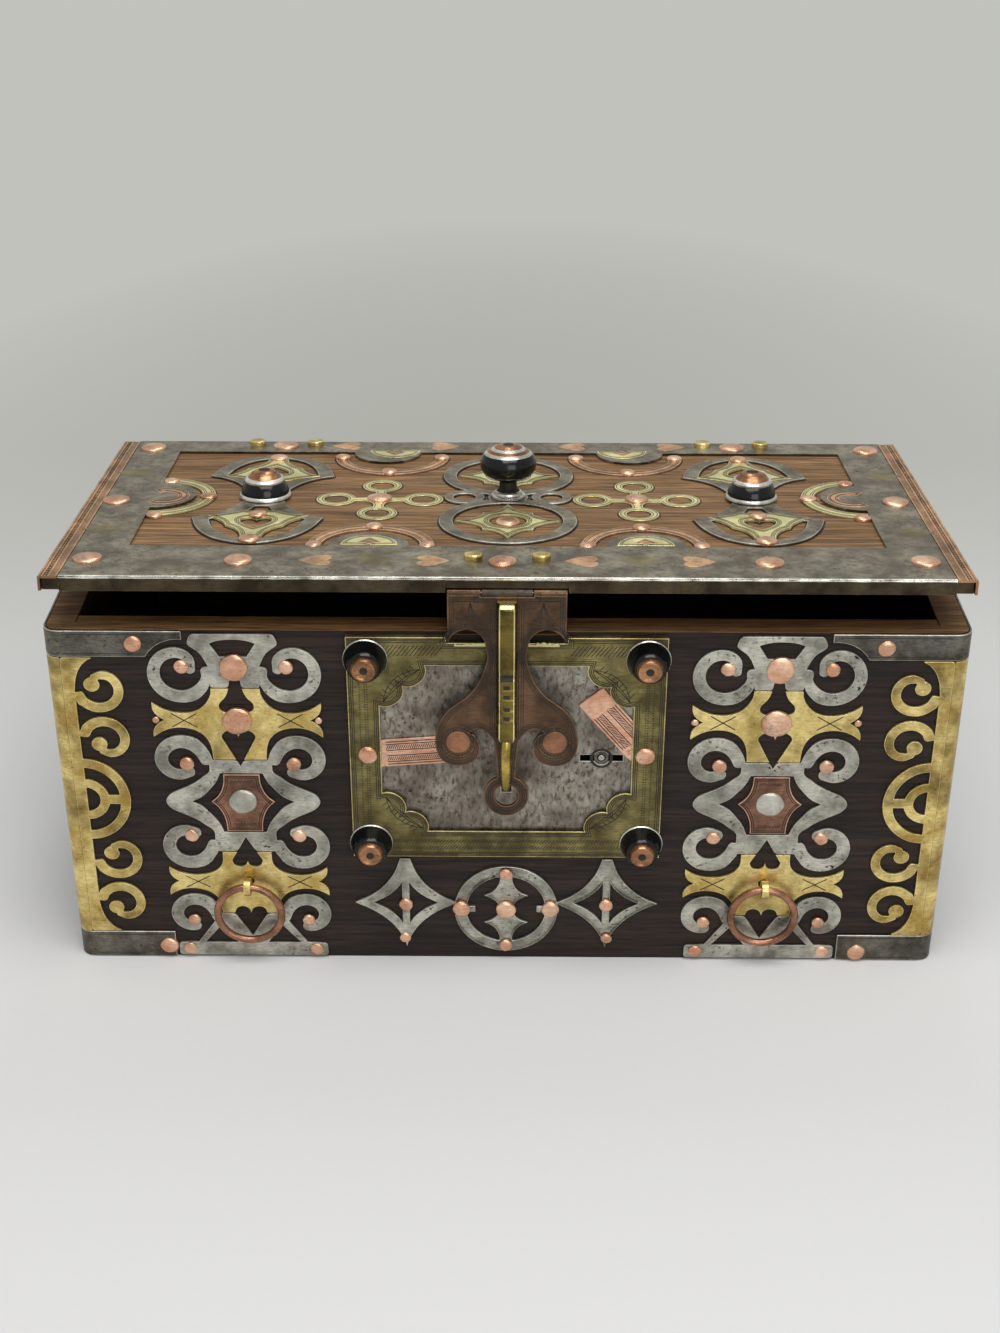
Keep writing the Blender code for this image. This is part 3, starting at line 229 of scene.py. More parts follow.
def wood(name, pale, deep, along, gloss):
    """Wood with long grain and short pores along one axis."""
    finish = Finish(name, 0.0)
    finish.shader.inputs["Specular IOR Level"].default_value = 0.25
    slow = tuple(0.045 if axis == along else 1.0 for axis in range(3))
    slower = tuple(0.12 if axis == along else 1.0 for axis in range(3))
    grain = finish.noise(560, slow, detail=7)
    broad = finish.noise(70, slower, detail=4, shift=2)
    pores = finish.ramp(finish.noise(1000, slow, detail=3, shift=4), 0.54, 0.64)
    colour = finish.mix(finish.ramp(grain, 0.34, 0.66), deep, pale)
    colour = finish.mix(finish.ramp(broad, 0.35, 0.7, 0, 0.55), colour, deep)
    colour = finish.mix(finish.math("MULTIPLY", pores, 0.7), colour, dimmed(deep, 0.3))
    rough = finish.ramp(broad, 0.3, 0.7, gloss - 0.08, gloss + 0.1)
    height = finish.math("SUBTRACT", finish.math("MULTIPLY", grain, 0.6), pores)
    return finish.done(colour, rough, height, 0.25)


METALS = {
    "iron": dict(pale=tone(216, 213, 200), deep=tone(140, 137, 127), mottled=0.35, pitted=1.0,
                 roughness=0.36),
    "iron_edge": dict(pale=tone(222, 219, 208), deep=tone(168, 165, 154), stained=0.1),
    "strap_iron": dict(pale=tone(132, 128, 117), deep=tone(76, 72, 65), mottled=0.45, pitted=0.8),
    "lock_iron": dict(pale=tone(178, 173, 161), deep=tone(114, 108, 98), stain=RUST, stained=0.35,
                      mottled=0.85, pitted=0.9, roughness=0.44, brushed=(1.8, 1, 0.8)),
    "lid_iron": dict(pale=tone(168, 161, 143), deep=tone(108, 101, 86), stain=RUST, stained=0.35, mottled=0.5,
                     pitted=0.8, roughness=0.36),
    # Dark finish of the lid's front lip: its patina together with painted shade; also painted shade on the
    # lid board's bare front edge.
    "lip_iron": dict(pale=tone(86, 76, 58), deep=tone(44, 38, 28), stain=RUST, mottled=0.4, roughness=0.5),
    # Pale finish of the lid's front edge: its rubbed polish together with a painted highlight.
    "bright_edge": dict(pale=tone(252, 250, 242), deep=tone(200, 195, 182), mottled=0.25, roughness=0.22),
    "hinge_iron": dict(pale=tone(100, 95, 86), deep=tone(60, 56, 50), stain=RUST, mottled=0.5,
                       roughness=0.44),
    "brass": dict(pale=tone(252, 230, 154), deep=tone(180, 150, 80), stain=TARNISH, stained=0.9,
                  mottled=0.35, roughness=0.34),
    "brass_edge": dict(pale=tone(252, 236, 178), deep=tone(216, 192, 120), stain=TARNISH, roughness=0.26),
    "cross_brass": dict(pale=tone(252, 231, 158), deep=tone(198, 170, 97), stain=TARNISH, stained=0.7,
                        mottled=0.3, roughness=0.32),
    "rail_brass": dict(pale=tone(154, 144, 94), deep=tone(88, 81, 50), stain=TARNISH, stained=0.7,
                       mottled=0.45),
    "faded_brass": dict(pale=tone(160, 147, 108), deep=tone(116, 105, 80), stain=TARNISH, stained=0.5),
    "inlay_brass": dict(pale=tone(240, 233, 176), deep=tone(206, 198, 140), stain=TARNISH, metallic=0.55),
    # The bar's dark finish: tarnish together with a painted dark reflection on its top.
    "bar_brass": dict(pale=tone(130, 115, 56), deep=tone(70, 60, 28), stain=TARNISH, stained=0.5,
                      roughness=0.24),
    "finger_brass": dict(pale=tone(220, 196, 102), deep=tone(120, 100, 44), stain=TARNISH, stained=0.9,
                         roughness=0.22),
    "copper": dict(pale=tone(255, 212, 184), deep=tone(220, 164, 136), stained=0.4, mottled=0.4),
    "star_copper": dict(pale=tone(172, 126, 103), deep=tone(106, 77, 62), stained=0.5, mottled=0.45),
    "copper_edge": dict(pale=tone(248, 204, 178), deep=tone(212, 160, 134), stained=0.1),
    "rivet_copper": dict(pale=tone(255, 214, 184), deep=tone(214, 158, 126), stained=0.45, mottled=0.25,
                         roughness=0.3),
    "heart_copper": dict(pale=tone(246, 198, 156), deep=tone(198, 154, 118), stain=RUST, mottled=0.35),
    "knob_copper": dict(pale=tone(206, 152, 112), deep=tone(142, 98, 68), stained=0.5, mottled=0.4,
                        roughness=0.26),
    "hasp_copper": dict(pale=tone(120, 92, 70), deep=tone(74, 57, 43), stained=0.4, mottled=0.3,
                        roughness=0.32),
    "hasp_edge": dict(pale=tone(152, 116, 90), deep=tone(106, 79, 61), stained=0.1),
    "bulb_copper": dict(pale=tone(172, 122, 91), deep=tone(122, 87, 66), stained=0.3, mottled=0.3,
                        roughness=0.34),
    "cap_copper": dict(pale=tone(198, 153, 116), deep=tone(142, 108, 80), mottled=0.3, brushed=ALONG),
    "cap_edge": dict(pale=tone(232, 188, 150), deep=tone(184, 146, 112), mottled=0.2, brushed=ALONG),
    "ring_copper": dict(pale=tone(190, 138, 110), deep=tone(122, 86, 67), roughness=0.28),
    "ebony": dict(pale=tone(14, 18, 20), deep=tone(7, 9, 10), stained=0.0, pitted=0.1, roughness=0.13,
                  metallic=0.0, specular=0.35),
    "tin": dict(pale=tone(250, 248, 242), deep=tone(200, 198, 190), mottled=0.25, roughness=0.3),
    "groove": dict(pale=tone(46, 37, 26), deep=tone(28, 22, 16), roughness=0.6, metallic=0.2),
}
WOODS = {
    "front_wood": (tone(57, 42, 35), tone(24, 18, 15), 0, 0.5),
    "side_wood": (tone(57, 42, 35), tone(24, 18, 15), 1, 0.55),
    "worn_wood": (tone(146, 110, 68), tone(82, 58, 36), 0, 0.6),
    "lid_wood": (tone(165, 124, 79), tone(84, 59, 35), 0, 0.5),
}
FINISHES = {name: metal(name, **values) for name, values in METALS.items()}
FINISHES.update({name: wood(name, *values) for name, values in WOODS.items()})


# Outlines, as lists of points on a plane

def polar(centre, radius, degrees):
    angle = math.radians(degrees)
    return Vector((centre[0] + radius * math.cos(angle), centre[1] + radius * math.sin(angle)))


def arc(centre, radius, start, end, steps):
    return [polar(centre, radius, start + (end - start) * i / steps) for i in range(steps + 1)]


def circle(centre, radius, steps=40):
    return arc(centre, radius, 0, 360, steps)[:-1]


def ring(centre, outer, inner):
    """A ring's two loops, with the material on the left of both."""
    return [circle(centre, outer), circle(centre, inner)[::-1]]


def half_ring(centre, outer, inner, middle, reach=90):
    """A bow of a ring on both sides of the direction given in degrees."""
    wide = arc(centre, outer, middle - reach, middle + reach, 30)
    narrow = arc(centre, inner, middle - reach, middle + reach, 30)
    return wide + narrow[::-1]


def bend(start, control, end, steps=7):
    """The points after start, up to end, of a curve drawn towards the control point."""
    one, two, three = Vector(start), Vector(control), Vector(end)
    shares = [i / steps for i in range(1, steps + 1)]
    return [one * (1 - t) ** 2 + two * 2 * t * (1 - t) + three * t * t for t in shares]


def placed(outline, centre, degrees=0.0):
    turn = Matrix.Rotation(math.radians(degrees), 2)
    return [turn @ Vector(point) + Vector(centre) for point in outline]


def symmetric(right_side):
    """A closed outline from its right side, listed from the bottom up."""
    left = [Vector((-p[0], p[1])) for p in reversed(right_side) if abs(p[0]) > 1e-6]
    return [Vector(p) for p in right_side] + left


def rectangle(left, low, right, high):
    return [Vector(p) for p in ((left, low), (right, low), (right, high), (left, high))]


def heart(half, height):
    """A heart with its point at (0, -height) and its lobes above the centre."""
    lobe = half / 2
    right = [Vector((0, -height))] + bend((0, -height), (half, -height * 0.45), (half, 0))
    return symmetric(right + arc((lobe, 0), lobe, 0, 180, 10)[1:])


def rounded(loop, corner=math.radians(50), pieces=3):
    """A closed outline with its gentle bends turned into smooth curves and its corners kept."""
    count = len(loop)
    ways = [(loop[(i + 1) % count] - loop[i]) for i in range(count)]
    tangents = []
    for i in range(count):
        before, after = ways[i - 1], ways[i]
        if before.angle(after, 0.0) > corner:
            tangents.append(None)
        elif before.length > 2.5 * after.length:
            tangents.append(before.normalized())
        elif after.length > 2.5 * before.length:
            tangents.append(after.normalized())
        else:
            tangents.append((before.normalized() + after.normalized()).normalized())
    smooth = []
    for i in range(count):
        start, way, end = loop[i], ways[i], loop[(i + 1) % count]
        first = tangents[i] or way.normalized()
        last = tangents[(i + 1) % count] or way.normalized()
        for k in range(pieces):
            t = k / pieces
            near, far = 2 * t ** 3 - 3 * t * t + 1, 3 * t * t - 2 * t ** 3
            out, back = t ** 3 - 2 * t * t + t, t ** 3 - t * t
            smooth.append(start * near + end * far + (first * out + last * back) * way.length)
    return smooth


def shifted(path, distance, closed=True):
    """A path moved to its left, which for an outline is into the material."""
    found = []
    last = len(path) - 1
    for i, here in enumerate(path):
        before = path[i - 1] if closed or i > 0 else here * 2 - path[1]
        after = path[(i + 1) % len(path)] if closed or i < last else here * 2 - path[i - 1]
        one, two = (here - before).normalized(), (after - here).normalized()
        side = Vector((-one.y, one.x))
        middle = side + Vector((-two.y, two.x))
        middle = middle.normalized() if middle.length > 1e-4 else side
        found.append(here + middle * distance / max(0.6, middle.dot(side)))
    return found


def area_of(loop):
    return sum(a[0] * b[1] - b[0] * a[1] for a, b in zip(loop, loop[1:] + loop[:1])) / 2


def steps_at(loop, i):
    """The steps to and from a point of a loop."""
    return loop[i] - loop[i - 1], loop[(i + 1) % len(loop)] - loop[i]


def softened(loop):
    """An outline with its outward corners, such as the square ends of its arms, worn round."""
    if area_of(loop) < 0:
        return loop
    corners = []
    for i, here in enumerate(loop):
        before, after = steps_at(loop, i)
        if before.angle(after, 0.0) > 0.02:
            corners.append(here)
    found = []
    for i, here in enumerate(corners):
        before, after = steps_at(corners, i)
        if before.angle(after, 0.0) < 0.9 or before.x * after.y < before.y * after.x:
            found.append(here)
            continue
        start = here - before.normalized() * min(WORN_CORNER, before.length * 0.48)
        end = here + after.normalized() * min(WORN_CORNER, after.length * 0.48)
        found += [start] + bend(start, here, end, 4)
    return found


def scrollwork(loop):
    """An outline of iron scrolls with broader arms and worn corners. The parts near its middle stay put."""
    middle = (min(p.x for p in loop) + max(p.x for p in loop)) / 2
    broad = []
    for here, there in zip(loop, shifted(loop, -WIDER_BAND)):
        share = min(1.0, max(0.0, (abs(here.x - middle) - 13.5) / 2.5))
        broad.append(here.lerp(there, share))
    return softened(broad)


def fishtails(loop):
    """A cross with two leaf-shaped lobes at the end of each of its tails."""
    middle = (min(p.x for p in loop) + max(p.x for p in loop)) / 2
    if max(p.x for p in loop) - middle < 30:
        return loop
    for side in (-1, 1):
        ends = [p for p in loop if (p.x - middle) * side > 31]
        height = (min(p.y for p in ends) + max(p.y for p in ends)) / 2
        low = max((p for p in ends if p.y < height - 4), key=lambda p: p.x * side)
        high = max((p for p in ends if p.y > height + 4), key=lambda p: p.x * side)
        first, last = (low, high) if side > 0 else (high, low)
        start = loop.index(first)
        loop = loop[start:] + loop[:start]
        notch = Vector((middle + side * 30.6, height))
        lobes = []
        for one, two, tip in ((first, notch, first), (notch, last, last)):
            lobes += bend(one, (tip.x + side * 0.7, notch.y + (tip.y - notch.y) * 0.3), two, 6)
        loop = [first] + lobes[:-1] + loop[loop.index(last):]
    return loop


def node_loops(node, plane, reshape=None):
    """The loops round the node's outermost flat face on a plane, with the material on their left."""
    spots = spots_on(node, plane)
    top = max(spot.z for spot in spots)
    edges = set()
    for face in frame["nodes"][node].data.polygons:
        corners = [spots[index] for index in face.vertices]
        if min(corner.z for corner in corners) < top - 0.02:
            continue
        keys = [(round(corner.x, 3), round(corner.y, 3)) for corner in corners]
        keys = keys if area_of(keys) > 0 else keys[::-1]
        for edge in zip(keys, keys[1:] + keys[:1]):
            if edge[::-1] in edges:
                edges.remove(edge[::-1])
            else:
                edges.add(edge)
    following = {}
    for start, end in sorted(edges):
        following.setdefault(start, []).append(end)
    loops = []
    while following:
        here = min(following)
        loop = []
        while here in following:
            loop.append(Vector(here))
            end = following[here].pop()
            if not following[here]:
                del following[here]
            here = end
        loops.append(rounded(reshape(loop) if reshape else loop))
    return loops


# Solids, added to one mesh at a time

FACE, EDGE, GROOVE = 0, 1, 2


def loft(bm, one, two, material):
    for i in range(len(one)):
        k = (i + 1) % len(one)
        bm.faces.new((one[i], one[k], two[k], two[i])).material_index = material


def cap(bm, plane, loops):
    """Fills loops of vertices on a plane with triangles, leaving the clockwise ones open."""
    back = plane.inverted()
    vertices = [vertex for loop in loops for vertex in loop]
    spots = [back @ vertex.co for vertex in vertices]
    faces, holes, start = [], set(), 0
    for number, loop in enumerate(loops):
        indices = list(range(start, start + len(loop)))
        start += len(loop)
        if area_of([spots[i] for i in indices]) < 0:
            holes.add(number)
            indices.reverse()
        faces.append(indices)
    found = delaunay_2d_cdt([spot.to_2d() for spot in spots], [], faces, 1, 1e-5)
    corners = []
    for spot, origins in zip(found[0], found[3]):
        if origins:
            corners.append(vertices[origins[0]])
        else:
            corners.append(bm.verts.new(plane @ Vector((*spot, spots[0].z))))
    for triangle, owners in zip(found[2], found[5]):
        if owners and not holes.intersection(owners):
            points = [corners[i] for i in triangle]
            if len(set(points)) == 3 and not bm.faces.get(points):
                bm.faces.new(points).material_index = FACE


def add_plate(bm, plane, loops, low, top, bevel=PLATE_BEVEL):
    """A plate with its upper edge worn round."""
    steps = ((0, low), (0, top - bevel), (bevel * 0.3, top - bevel * 0.3), (bevel, top))
    stacks = []
    for loop in loops:
        stack = [[bm.verts.new(plane @ Vector((*p, out))) for p in shifted(loop, d)] for d, out in steps]
        for number, (one, two) in enumerate(zip(stack, stack[1:])):
            loft(bm, one, two, EDGE if number else FACE)
        stacks.append(stack)
    cap(bm, plane, [stack[-1] for stack in stacks])
    cap(bm, plane, [stack[0] for stack in stacks])


def add_line(bm, plane, path, top, width=LINE, closed=False):
    """An engraved line along a path: a thin dark strip let into the surface."""
    left, right = shifted(path, width / 2, closed), shifted(path, -width / 2, closed)
    strips = ((left, LINE_PROUD), (right, LINE_PROUD), (right, -LINE_DEPTH), (left, -LINE_DEPTH))
    rails = [[bm.verts.new(plane @ Vector((*p, top + out))) for p in side] for side, out in strips]
    count = len(path)
    for i in range(count if closed else count - 1):
        k = (i + 1) % count
        for one, two in zip(rails, rails[1:] + rails[:1]):
            bm.faces.new((one[i], one[k], two[k], two[i])).material_index = GROOVE
    if not closed:
        for i in (0, count - 1):
            bm.faces.new([rail[i] for rail in rails]).material_index = GROOVE


def add_contours(bm, plane, loops, top, distances, width=FINE_LINE):
    for loop in loops:
        for distance in distances:
            add_line(bm, plane, shifted(loop, distance), top, width, closed=True)


def add_hatch(bm, plane, start, end, half, spacing, slant, top):
    """Short slanting strokes on both sides of a line from start to end."""
    start, end = Vector(start), Vector(end)
    along = (end - start).normalized()
    side = Vector((-along.y, along.x))
    count = int((end - start).length / spacing)
    for i in range(count):
        middle = start + along * spacing * (i + 0.5)
        reach = side * half + along * slant
        add_line(bm, plane, [middle - reach, middle + reach], top, FINE_LINE)


def add_turned(bm, plane, centre, foot, profile, steps=40, wobble=None):
    """A profile of (radius, height, material) turned about the plane's out direction."""
    rows = []
    for radius, height, _ in profile:
        row = []
        for i in range(steps):
            angle = 2 * math.pi * i / steps
            share = wobble(angle) if wobble else 1.0
            spot = polar(centre, radius * share, math.degrees(angle))
            row.append(bm.verts.new(plane @ Vector((*spot, foot + height))))
        rows.append(row)
    for one, two, step in zip(rows, rows[1:], profile[1:]):
        loft(bm, one, two, step[2])
    bm.faces.new(rows[0]).material_index = profile[0][2]
    bm.faces.new(rows[-1]).material_index = profile[-1][2]


def add_tube(bm, plane, centre, radius, wire, out, steps=72, sides=16, wobble=None):
    """A ring of round wire that lies on a plane."""
    rows = []
    for i in range(steps):
        angle = 2 * math.pi * i / steps
        thick = wire * (wobble(angle) if wobble else 1.0)
        row = []
        for k in range(sides):
            turn = 2 * math.pi * k / sides
            reach = radius + thick * math.cos(turn)
            spot = (centre[0] + reach * math.cos(angle), centre[1] + reach * math.sin(angle))
            row.append(bm.verts.new(plane @ Vector((*spot, out + thick * math.sin(turn)))))
        rows.append(row)
    for one, two in zip(rows, rows[1:] + rows[:1]):
        loft(bm, one, two, FACE)


def piece(name, bm, body, finishes, nodes=(), sharp=40):
    """Makes a mesh into a piece that moves with a body and stands for its CAD nodes."""
    bmesh.ops.remove_doubles(bm, verts=bm.verts, dist=1e-6)
    bmesh.ops.recalc_face_normals(bm, faces=bm.faces)
    mesh = bpy.data.meshes.new(name)
    bm.to_mesh(mesh)
    bm.free()
    for finish in finishes:
        mesh.materials.append(FINISHES[finish])
    mesh.shade_smooth()
    mesh.set_sharp_from_angle(angle=math.radians(sharp))
    obj = bpy.data.objects.new(name, mesh)
    bpy.context.scene.collection.objects.link(obj)
    shading = obj.modifiers.new("shading", "WEIGHTED_NORMAL")
    shading.keep_sharp = True
    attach(obj, body)
    if nodes:
        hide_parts(*nodes)
    return obj


def body_of(node):
    return frame["nodes"][node].parent.name.split(":")[1]


def copied(node, finishes, bevel, pick=None):
    """The node's own solid with its edges worn round. Pick chooses a finish for each face."""
    bm = bmesh.new()
    bm.from_mesh(frame["nodes"][node].data)
    bmesh.ops.remove_doubles(bm, verts=bm.verts, dist=1e-6)
    bmesh.ops.dissolve_limit(bm, angle_limit=0.001, verts=bm.verts, edges=bm.edges)
    edges = [e for e in bm.edges if len(e.link_faces) == 2 and e.calc_face_angle() > math.radians(30)]
    worn = bmesh.ops.bevel(bm, geom=edges, offset=bevel * MM, offset_type="OFFSET", segments=2, profile=0.5,
                           affect="EDGES", clamp_overlap=True)
    edge_faces = set(worn["faces"])
    bm.normal_update()
    for face in bm.faces:
        on_edge = face in edge_faces
        face.material_index = pick(face, on_edge) if pick else int(on_edge)
    return piece(f"{node}_finish", bm, body_of(node), finishes, [node])


def plate(node, plane, thick, finishes, contours=(), extra=None, reshape=None):
    """The node's flat plate with smooth curves, worn edges and engraved lines."""
    loops, top = node_loops(node, plane, reshape), level(node, plane)
    bm = bmesh.new()
    add_plate(bm, plane, loops, top - thick, top)
    add_contours(bm, plane, loops, top, contours)
    if extra:
        extra(bm, loops, top)
    return piece(f"{node}_finish", bm, body_of(node), finishes, [node])


def wobbler(chance, size):
    """A hand-made roundness: a share of the radius for each angle."""
    one, two = chance.uniform(0, 6.3), chance.uniform(0, 6.3)
    return lambda angle: 1 + size * math.sin(2 * angle + one) + size * 0.6 * math.sin(5 * angle + two)


RIVET = ((1, -0.15), (1, 0.1), (0.95, 0.2), (0.8, 0.3), (0.5, 0.37), (0.1, 0.4))


def rivets(name, plane, top, spots, body, finish="rivet_copper"):
    """Hammered rivet heads at (across, up, radius) on a surface at the top level."""
    chance = random.Random(name)
    bm = bmesh.new()
    for across, up, radius in spots:
        profile = [(r * radius, h * min(radius, 4.0), FACE) for r, h in RIVET]
        add_turned(bm, plane, (across, up), top, profile, 24, wobbler(chance, 0.03))
    return piece(name, bm, body, (finish,), sharp=60)


# Wooden box, straps and corners

def rim_finish(face, on_edge):
    """The boards are rubbed pale along their upper edges only."""
    return int(face.normal.z > 0.3)


def box_boards():
    for node in ("front_board", "back_board", "base_board"):
        copied(node, ("front_wood", "worn_wood"), WOOD_BEVEL, rim_finish if node != "base_board" else None)
    for node in ("left_end_board", "right_end_board"):
        copied(node, ("side_wood", "worn_wood"), WOOD_BEVEL, rim_finish)


def straps():
    bm = bmesh.new()
    for hand, side in (("left", -1), ("right", 1)):
        for row in ("upper", "lower"):
            node = f"{row}_{hand}_strap"
            copied(node, ("strap_iron", "iron_edge"), PLATE_BEVEL)
            low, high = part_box(node)
            near = min(abs(low.x), abs(high.x)) / MM
            for z, end in ((high.z / MM - 1.6, near + 2), (low.z / MM + 1.5, near + 14)):
                path = [Vector((side * end, z)), Vector((side * 182, z))]
                add_line(bm, FRONT, path if side < 0 else path[::-1], PLATE_TOP, 0.3)
    piece("strap_lines", bm, "chest", ("strap_iron", "iron_edge", "groove"))
    spots = [(-153, 159, 3.7), (155, 158.5, 3.7), (-150, 6.5, 4.0), (156, 4.8, 4.0)]
    rivets("strap_rivets", FRONT, PLATE_TOP, spots, "chest")


def bent_band(node, side):
    """The plan of the corner band: from the front plate, round the corner and along the end."""
    low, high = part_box(node)
    edge = high.x / MM if side > 0 else -low.x / MM
    front = low.y / MM
    centre = (edge - CORNER_BEND, front + CORNER_BEND)
    outer = arc(centre, CORNER_BEND, -90, 0, 10) + [Vector((edge, high.y / MM))]
    inner = arc(centre, CORNER_BEND - 1, -90, 0, 10) + [Vector((edge - 1, high.y / MM))]
    outline = outer + inner[::-1]
    return outline if side > 0 else [Vector((-p.x, p.y)) for p in reversed(outline)]


def corner_scrolls():
    for hand, side in (("left", -1), ("right", 1)):
        node = f"{hand}_corner_scroll"
        low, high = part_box(node)
        bm = bmesh.new()
        add_plate(bm, FRONT, node_loops(node, FRONT, softened), PLATE_TOP - 1, PLATE_TOP)
        add_plate(bm, PLAN, [bent_band(node, side)], low.z / MM, high.z / MM)
        piece(f"{node}_finish", bm, "chest", ("brass", "brass_edge"), [node])


# Columns and the ornament under the lock

def cross_marks(levels):
    """The engraved X on each tail of a brass cross."""
    def add(bm, loops, top):
        centre = sum((p.x for p in loops[0]), 0.0) / len(loops[0])
        middle = COLUMN_X if centre > 0 else -COLUMN_X
        low, high = levels
        for side in (-1, 1):
            for one, two in (((17, low), (27.5, high)), ((17, high), (27.5, low))):
                path = [Vector((middle + side * x, z)) for x, z in (one, two)]
                add_line(bm, FRONT, path, top, 0.45)
    return add


def star_marks(bm, loops, top):
    """Zigzag rows along the star plate's upper and lower edges."""
    points = loops[0]
    across = (min(p.x for p in points) + max(p.x for p in points)) / 2
    low, high = min(p.y for p in points), max(p.y for p in points)
    for z in (low + 3.6, high - 3.6):
        zigzag = [Vector((across - 4.9 + 0.7 * i, z + (0.6 if i % 2 else -0.6))) for i in range(15)]
        add_line(bm, FRONT, zigzag, top, 0.3)


def columns():
    iron = ("iron", "iron_edge")
    brass = ("cross_brass", "brass_edge", "groove")
    copper = ("star_copper", "copper_edge", "groove")
    for hand in ("left", "right"):
        for part in ("upper_scrolls", "middle_scrolls", "lower_scrolls"):
            plate(f"{hand}_{part}", FRONT, 1.0, iron, reshape=scrollwork)
        for row, low, high in (("upper", 37, 43.5), ("lower", -44.5, -38.5)):
            marks = cross_marks((MIDDLE + low, MIDDLE + high))
            plate(f"{hand}_{row}_cross", FRONT, 1.0, brass, extra=marks, reshape=fishtails)
        plate(f"{hand}_star_plate", FRONT, 1.0, copper, (0.9, 1.7), star_marks)
    plate("lower_ornament", FRONT, 1.0, iron)
    eyes = ((21.5, 148.3, 3.1), (22.6, 101.5, 3.2), (23.2, 65.2, 3.0), (25.3, 20.6, 2.8), (28.3, 5.0, 3.0))
    small = ((34.0, MIDDLE + 40.4, 1.5),)
    for hand, x in (("left", -COLUMN_X), ("right", COLUMN_X)):
        spots = [(x, 148.0, 6.0), (x, 122.6, 6.3)]
        spots += [(x + side * u, z, r) for u, z, r in eyes + small for side in (-1, 1)]
        rivets(f"{hand}_column_rivets", FRONT, PLATE_TOP, spots, "chest")
        rivets(f"{hand}_star_rivet", FRONT, PLATE_TOP, [(x, 82.8, 6.0)], "chest", "iron_edge")
    ring_z = 26.8
    spots = [(0, ring_z, 4.4), (0, ring_z + 18.8, 2.9), (0, ring_z - 19.4, 2.9)]
    for side in (-1, 1):
        spots += [(side * 19.6, ring_z + 0.4, 4.0), (side * 44, 29.4, 3.1), (side * 44.6, 11.4, 2.5)]
    rivets("ornament_rivets", FRONT, PLATE_TOP, spots, "chest")


# Lock

def lock_rails():
    """The brass frame: contour lines, hatched rails and the rim turned down round it."""
    node = "lock_frame"
    loops = [loop for loop in node_loops(node, FRONT) if abs(area_of(loop)) > 50]
    outer = max(loops, key=area_of)
    bm = bmesh.new()
    add_plate(bm, FRONT, loops, RAIL_TOP - 0.8, RAIL_TOP, 0.3)
    add_plate(bm, FRONT, [outer, shifted(outer, 2.0)[::-1]], PLATE_TOP - 1, RAIL_TOP - 0.8, 0.1)
    add_contours(bm, FRONT, loops, RAIL_TOP, (0.9, 1.6, 2.4))
    low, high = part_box(node)
    right, bottom, top = high.x / MM, low.z / MM, high.z / MM
    for side in (-1, 1):
        for across in (-1.6, -0.6, 1.6):
            x = side * (right - 6.6 + across)
            add_hatch(bm, FRONT, (x, bottom + 14), (x, top - 14), 0.3, 1.2, 0.25, RAIL_TOP)
        row = top - 6.2
        add_hatch(bm, FRONT, (side * 27, row), (side * (right - 10), row), 2.4, 1.7, 1.8, RAIL_TOP)
    for up in (4.8, 8.2):
        add_hatch(bm, FRONT, (14 - right, bottom + up), (right - 14, bottom + up), 0.8, 1.3, 0.7, RAIL_TOP)
    for side in (-1, 1):
        for z, way in ((top - 13.3, -1), (bottom + 13.3, 1)):
            add_leaf(bm, Vector((side * (right - 13.3), z)), Vector((-side, way)))
    piece("lock_frame_finish", bm, "chest", ("rail_brass", "brass_edge", "groove"), [node])
    notch = min(spot.y for spot in spots_on(node, FRONT) if abs(spot.x) < 26 and spot.y > top - 6)
    chance = random.Random("ragged")
    ragged = [Vector((21.5 - i, notch + chance.uniform(-0.9, 0.5))) for i in range(44)]
    outline = [Vector((-21.5, notch - 1.5)), Vector((21.5, notch - 1.5))] + ragged
    bm = bmesh.new()
    add_plate(bm, FRONT, [outline], RAIL_TOP - 0.3, RAIL_TOP + 0.2, 0.1)
    piece("ragged_edge", bm, "chest", ("inlay_brass", "brass_edge"))


def add_leaf(bm, corner, way):
    """A leaf across a corner of the lock frame, from one lobe's tip to the other's."""
    one, two = corner + Vector((way.x * 17, way.y * 1.6)), corner + Vector((way.x * 1.6, way.y * 17))
    for reach in (3.2, 6.6, 8.2):
        add_line(bm, FRONT, [one] + bend(one, corner + way * reach, two, 12), RAIL_TOP, FINE_LINE)
    for i in range(9):
        middle = corner + Vector((way.x * (14.5 - 1.6 * i), way.y * (1.7 + 1.6 * i)))
        add_line(bm, FRONT, [middle, middle - way * 1.8], RAIL_TOP, FINE_LINE)


KNOB_FINISHES = ("ebony", "tin", "knob_copper", "groove")
BLACK, SILVER, PINK, DARK = range(4)
LOCK_KNOB = (
    (9.3, 0, SILVER), (9.3, 0.5, SILVER), (9.0, 0.9, SILVER), (8.85, 1.0, BLACK), (8.5, 2.6, BLACK),
    (7.9, 4.6, BLACK), (7.2, 6.6, BLACK), (6.7, 7.9, BLACK), (6.0, 8.5, BLACK), (5.5, 8.4, DARK),
    (5.5, 8.8, PINK), (5.3, 9.8, PINK), (4.7, 10.7, PINK), (4.0, 10.9, PINK), (2.7, 10.3, PINK),
    (1.7, 10.4, PINK), (1.3, 10.2, DARK), (0.3, 10.1, DARK),
)


def turned_piece(node, plane, foot, profile):
    spots = spots_on(node, plane)
    centre = [(min(s[k] for s in spots) + max(s[k] for s in spots)) / 2 for k in (0, 1)]
    bm = bmesh.new()
    add_turned(bm, plane, centre, foot, profile, 56)
    return piece(f"{node}_finish", bm, body_of(node), KNOB_FINISHES, [node], sharp=35)


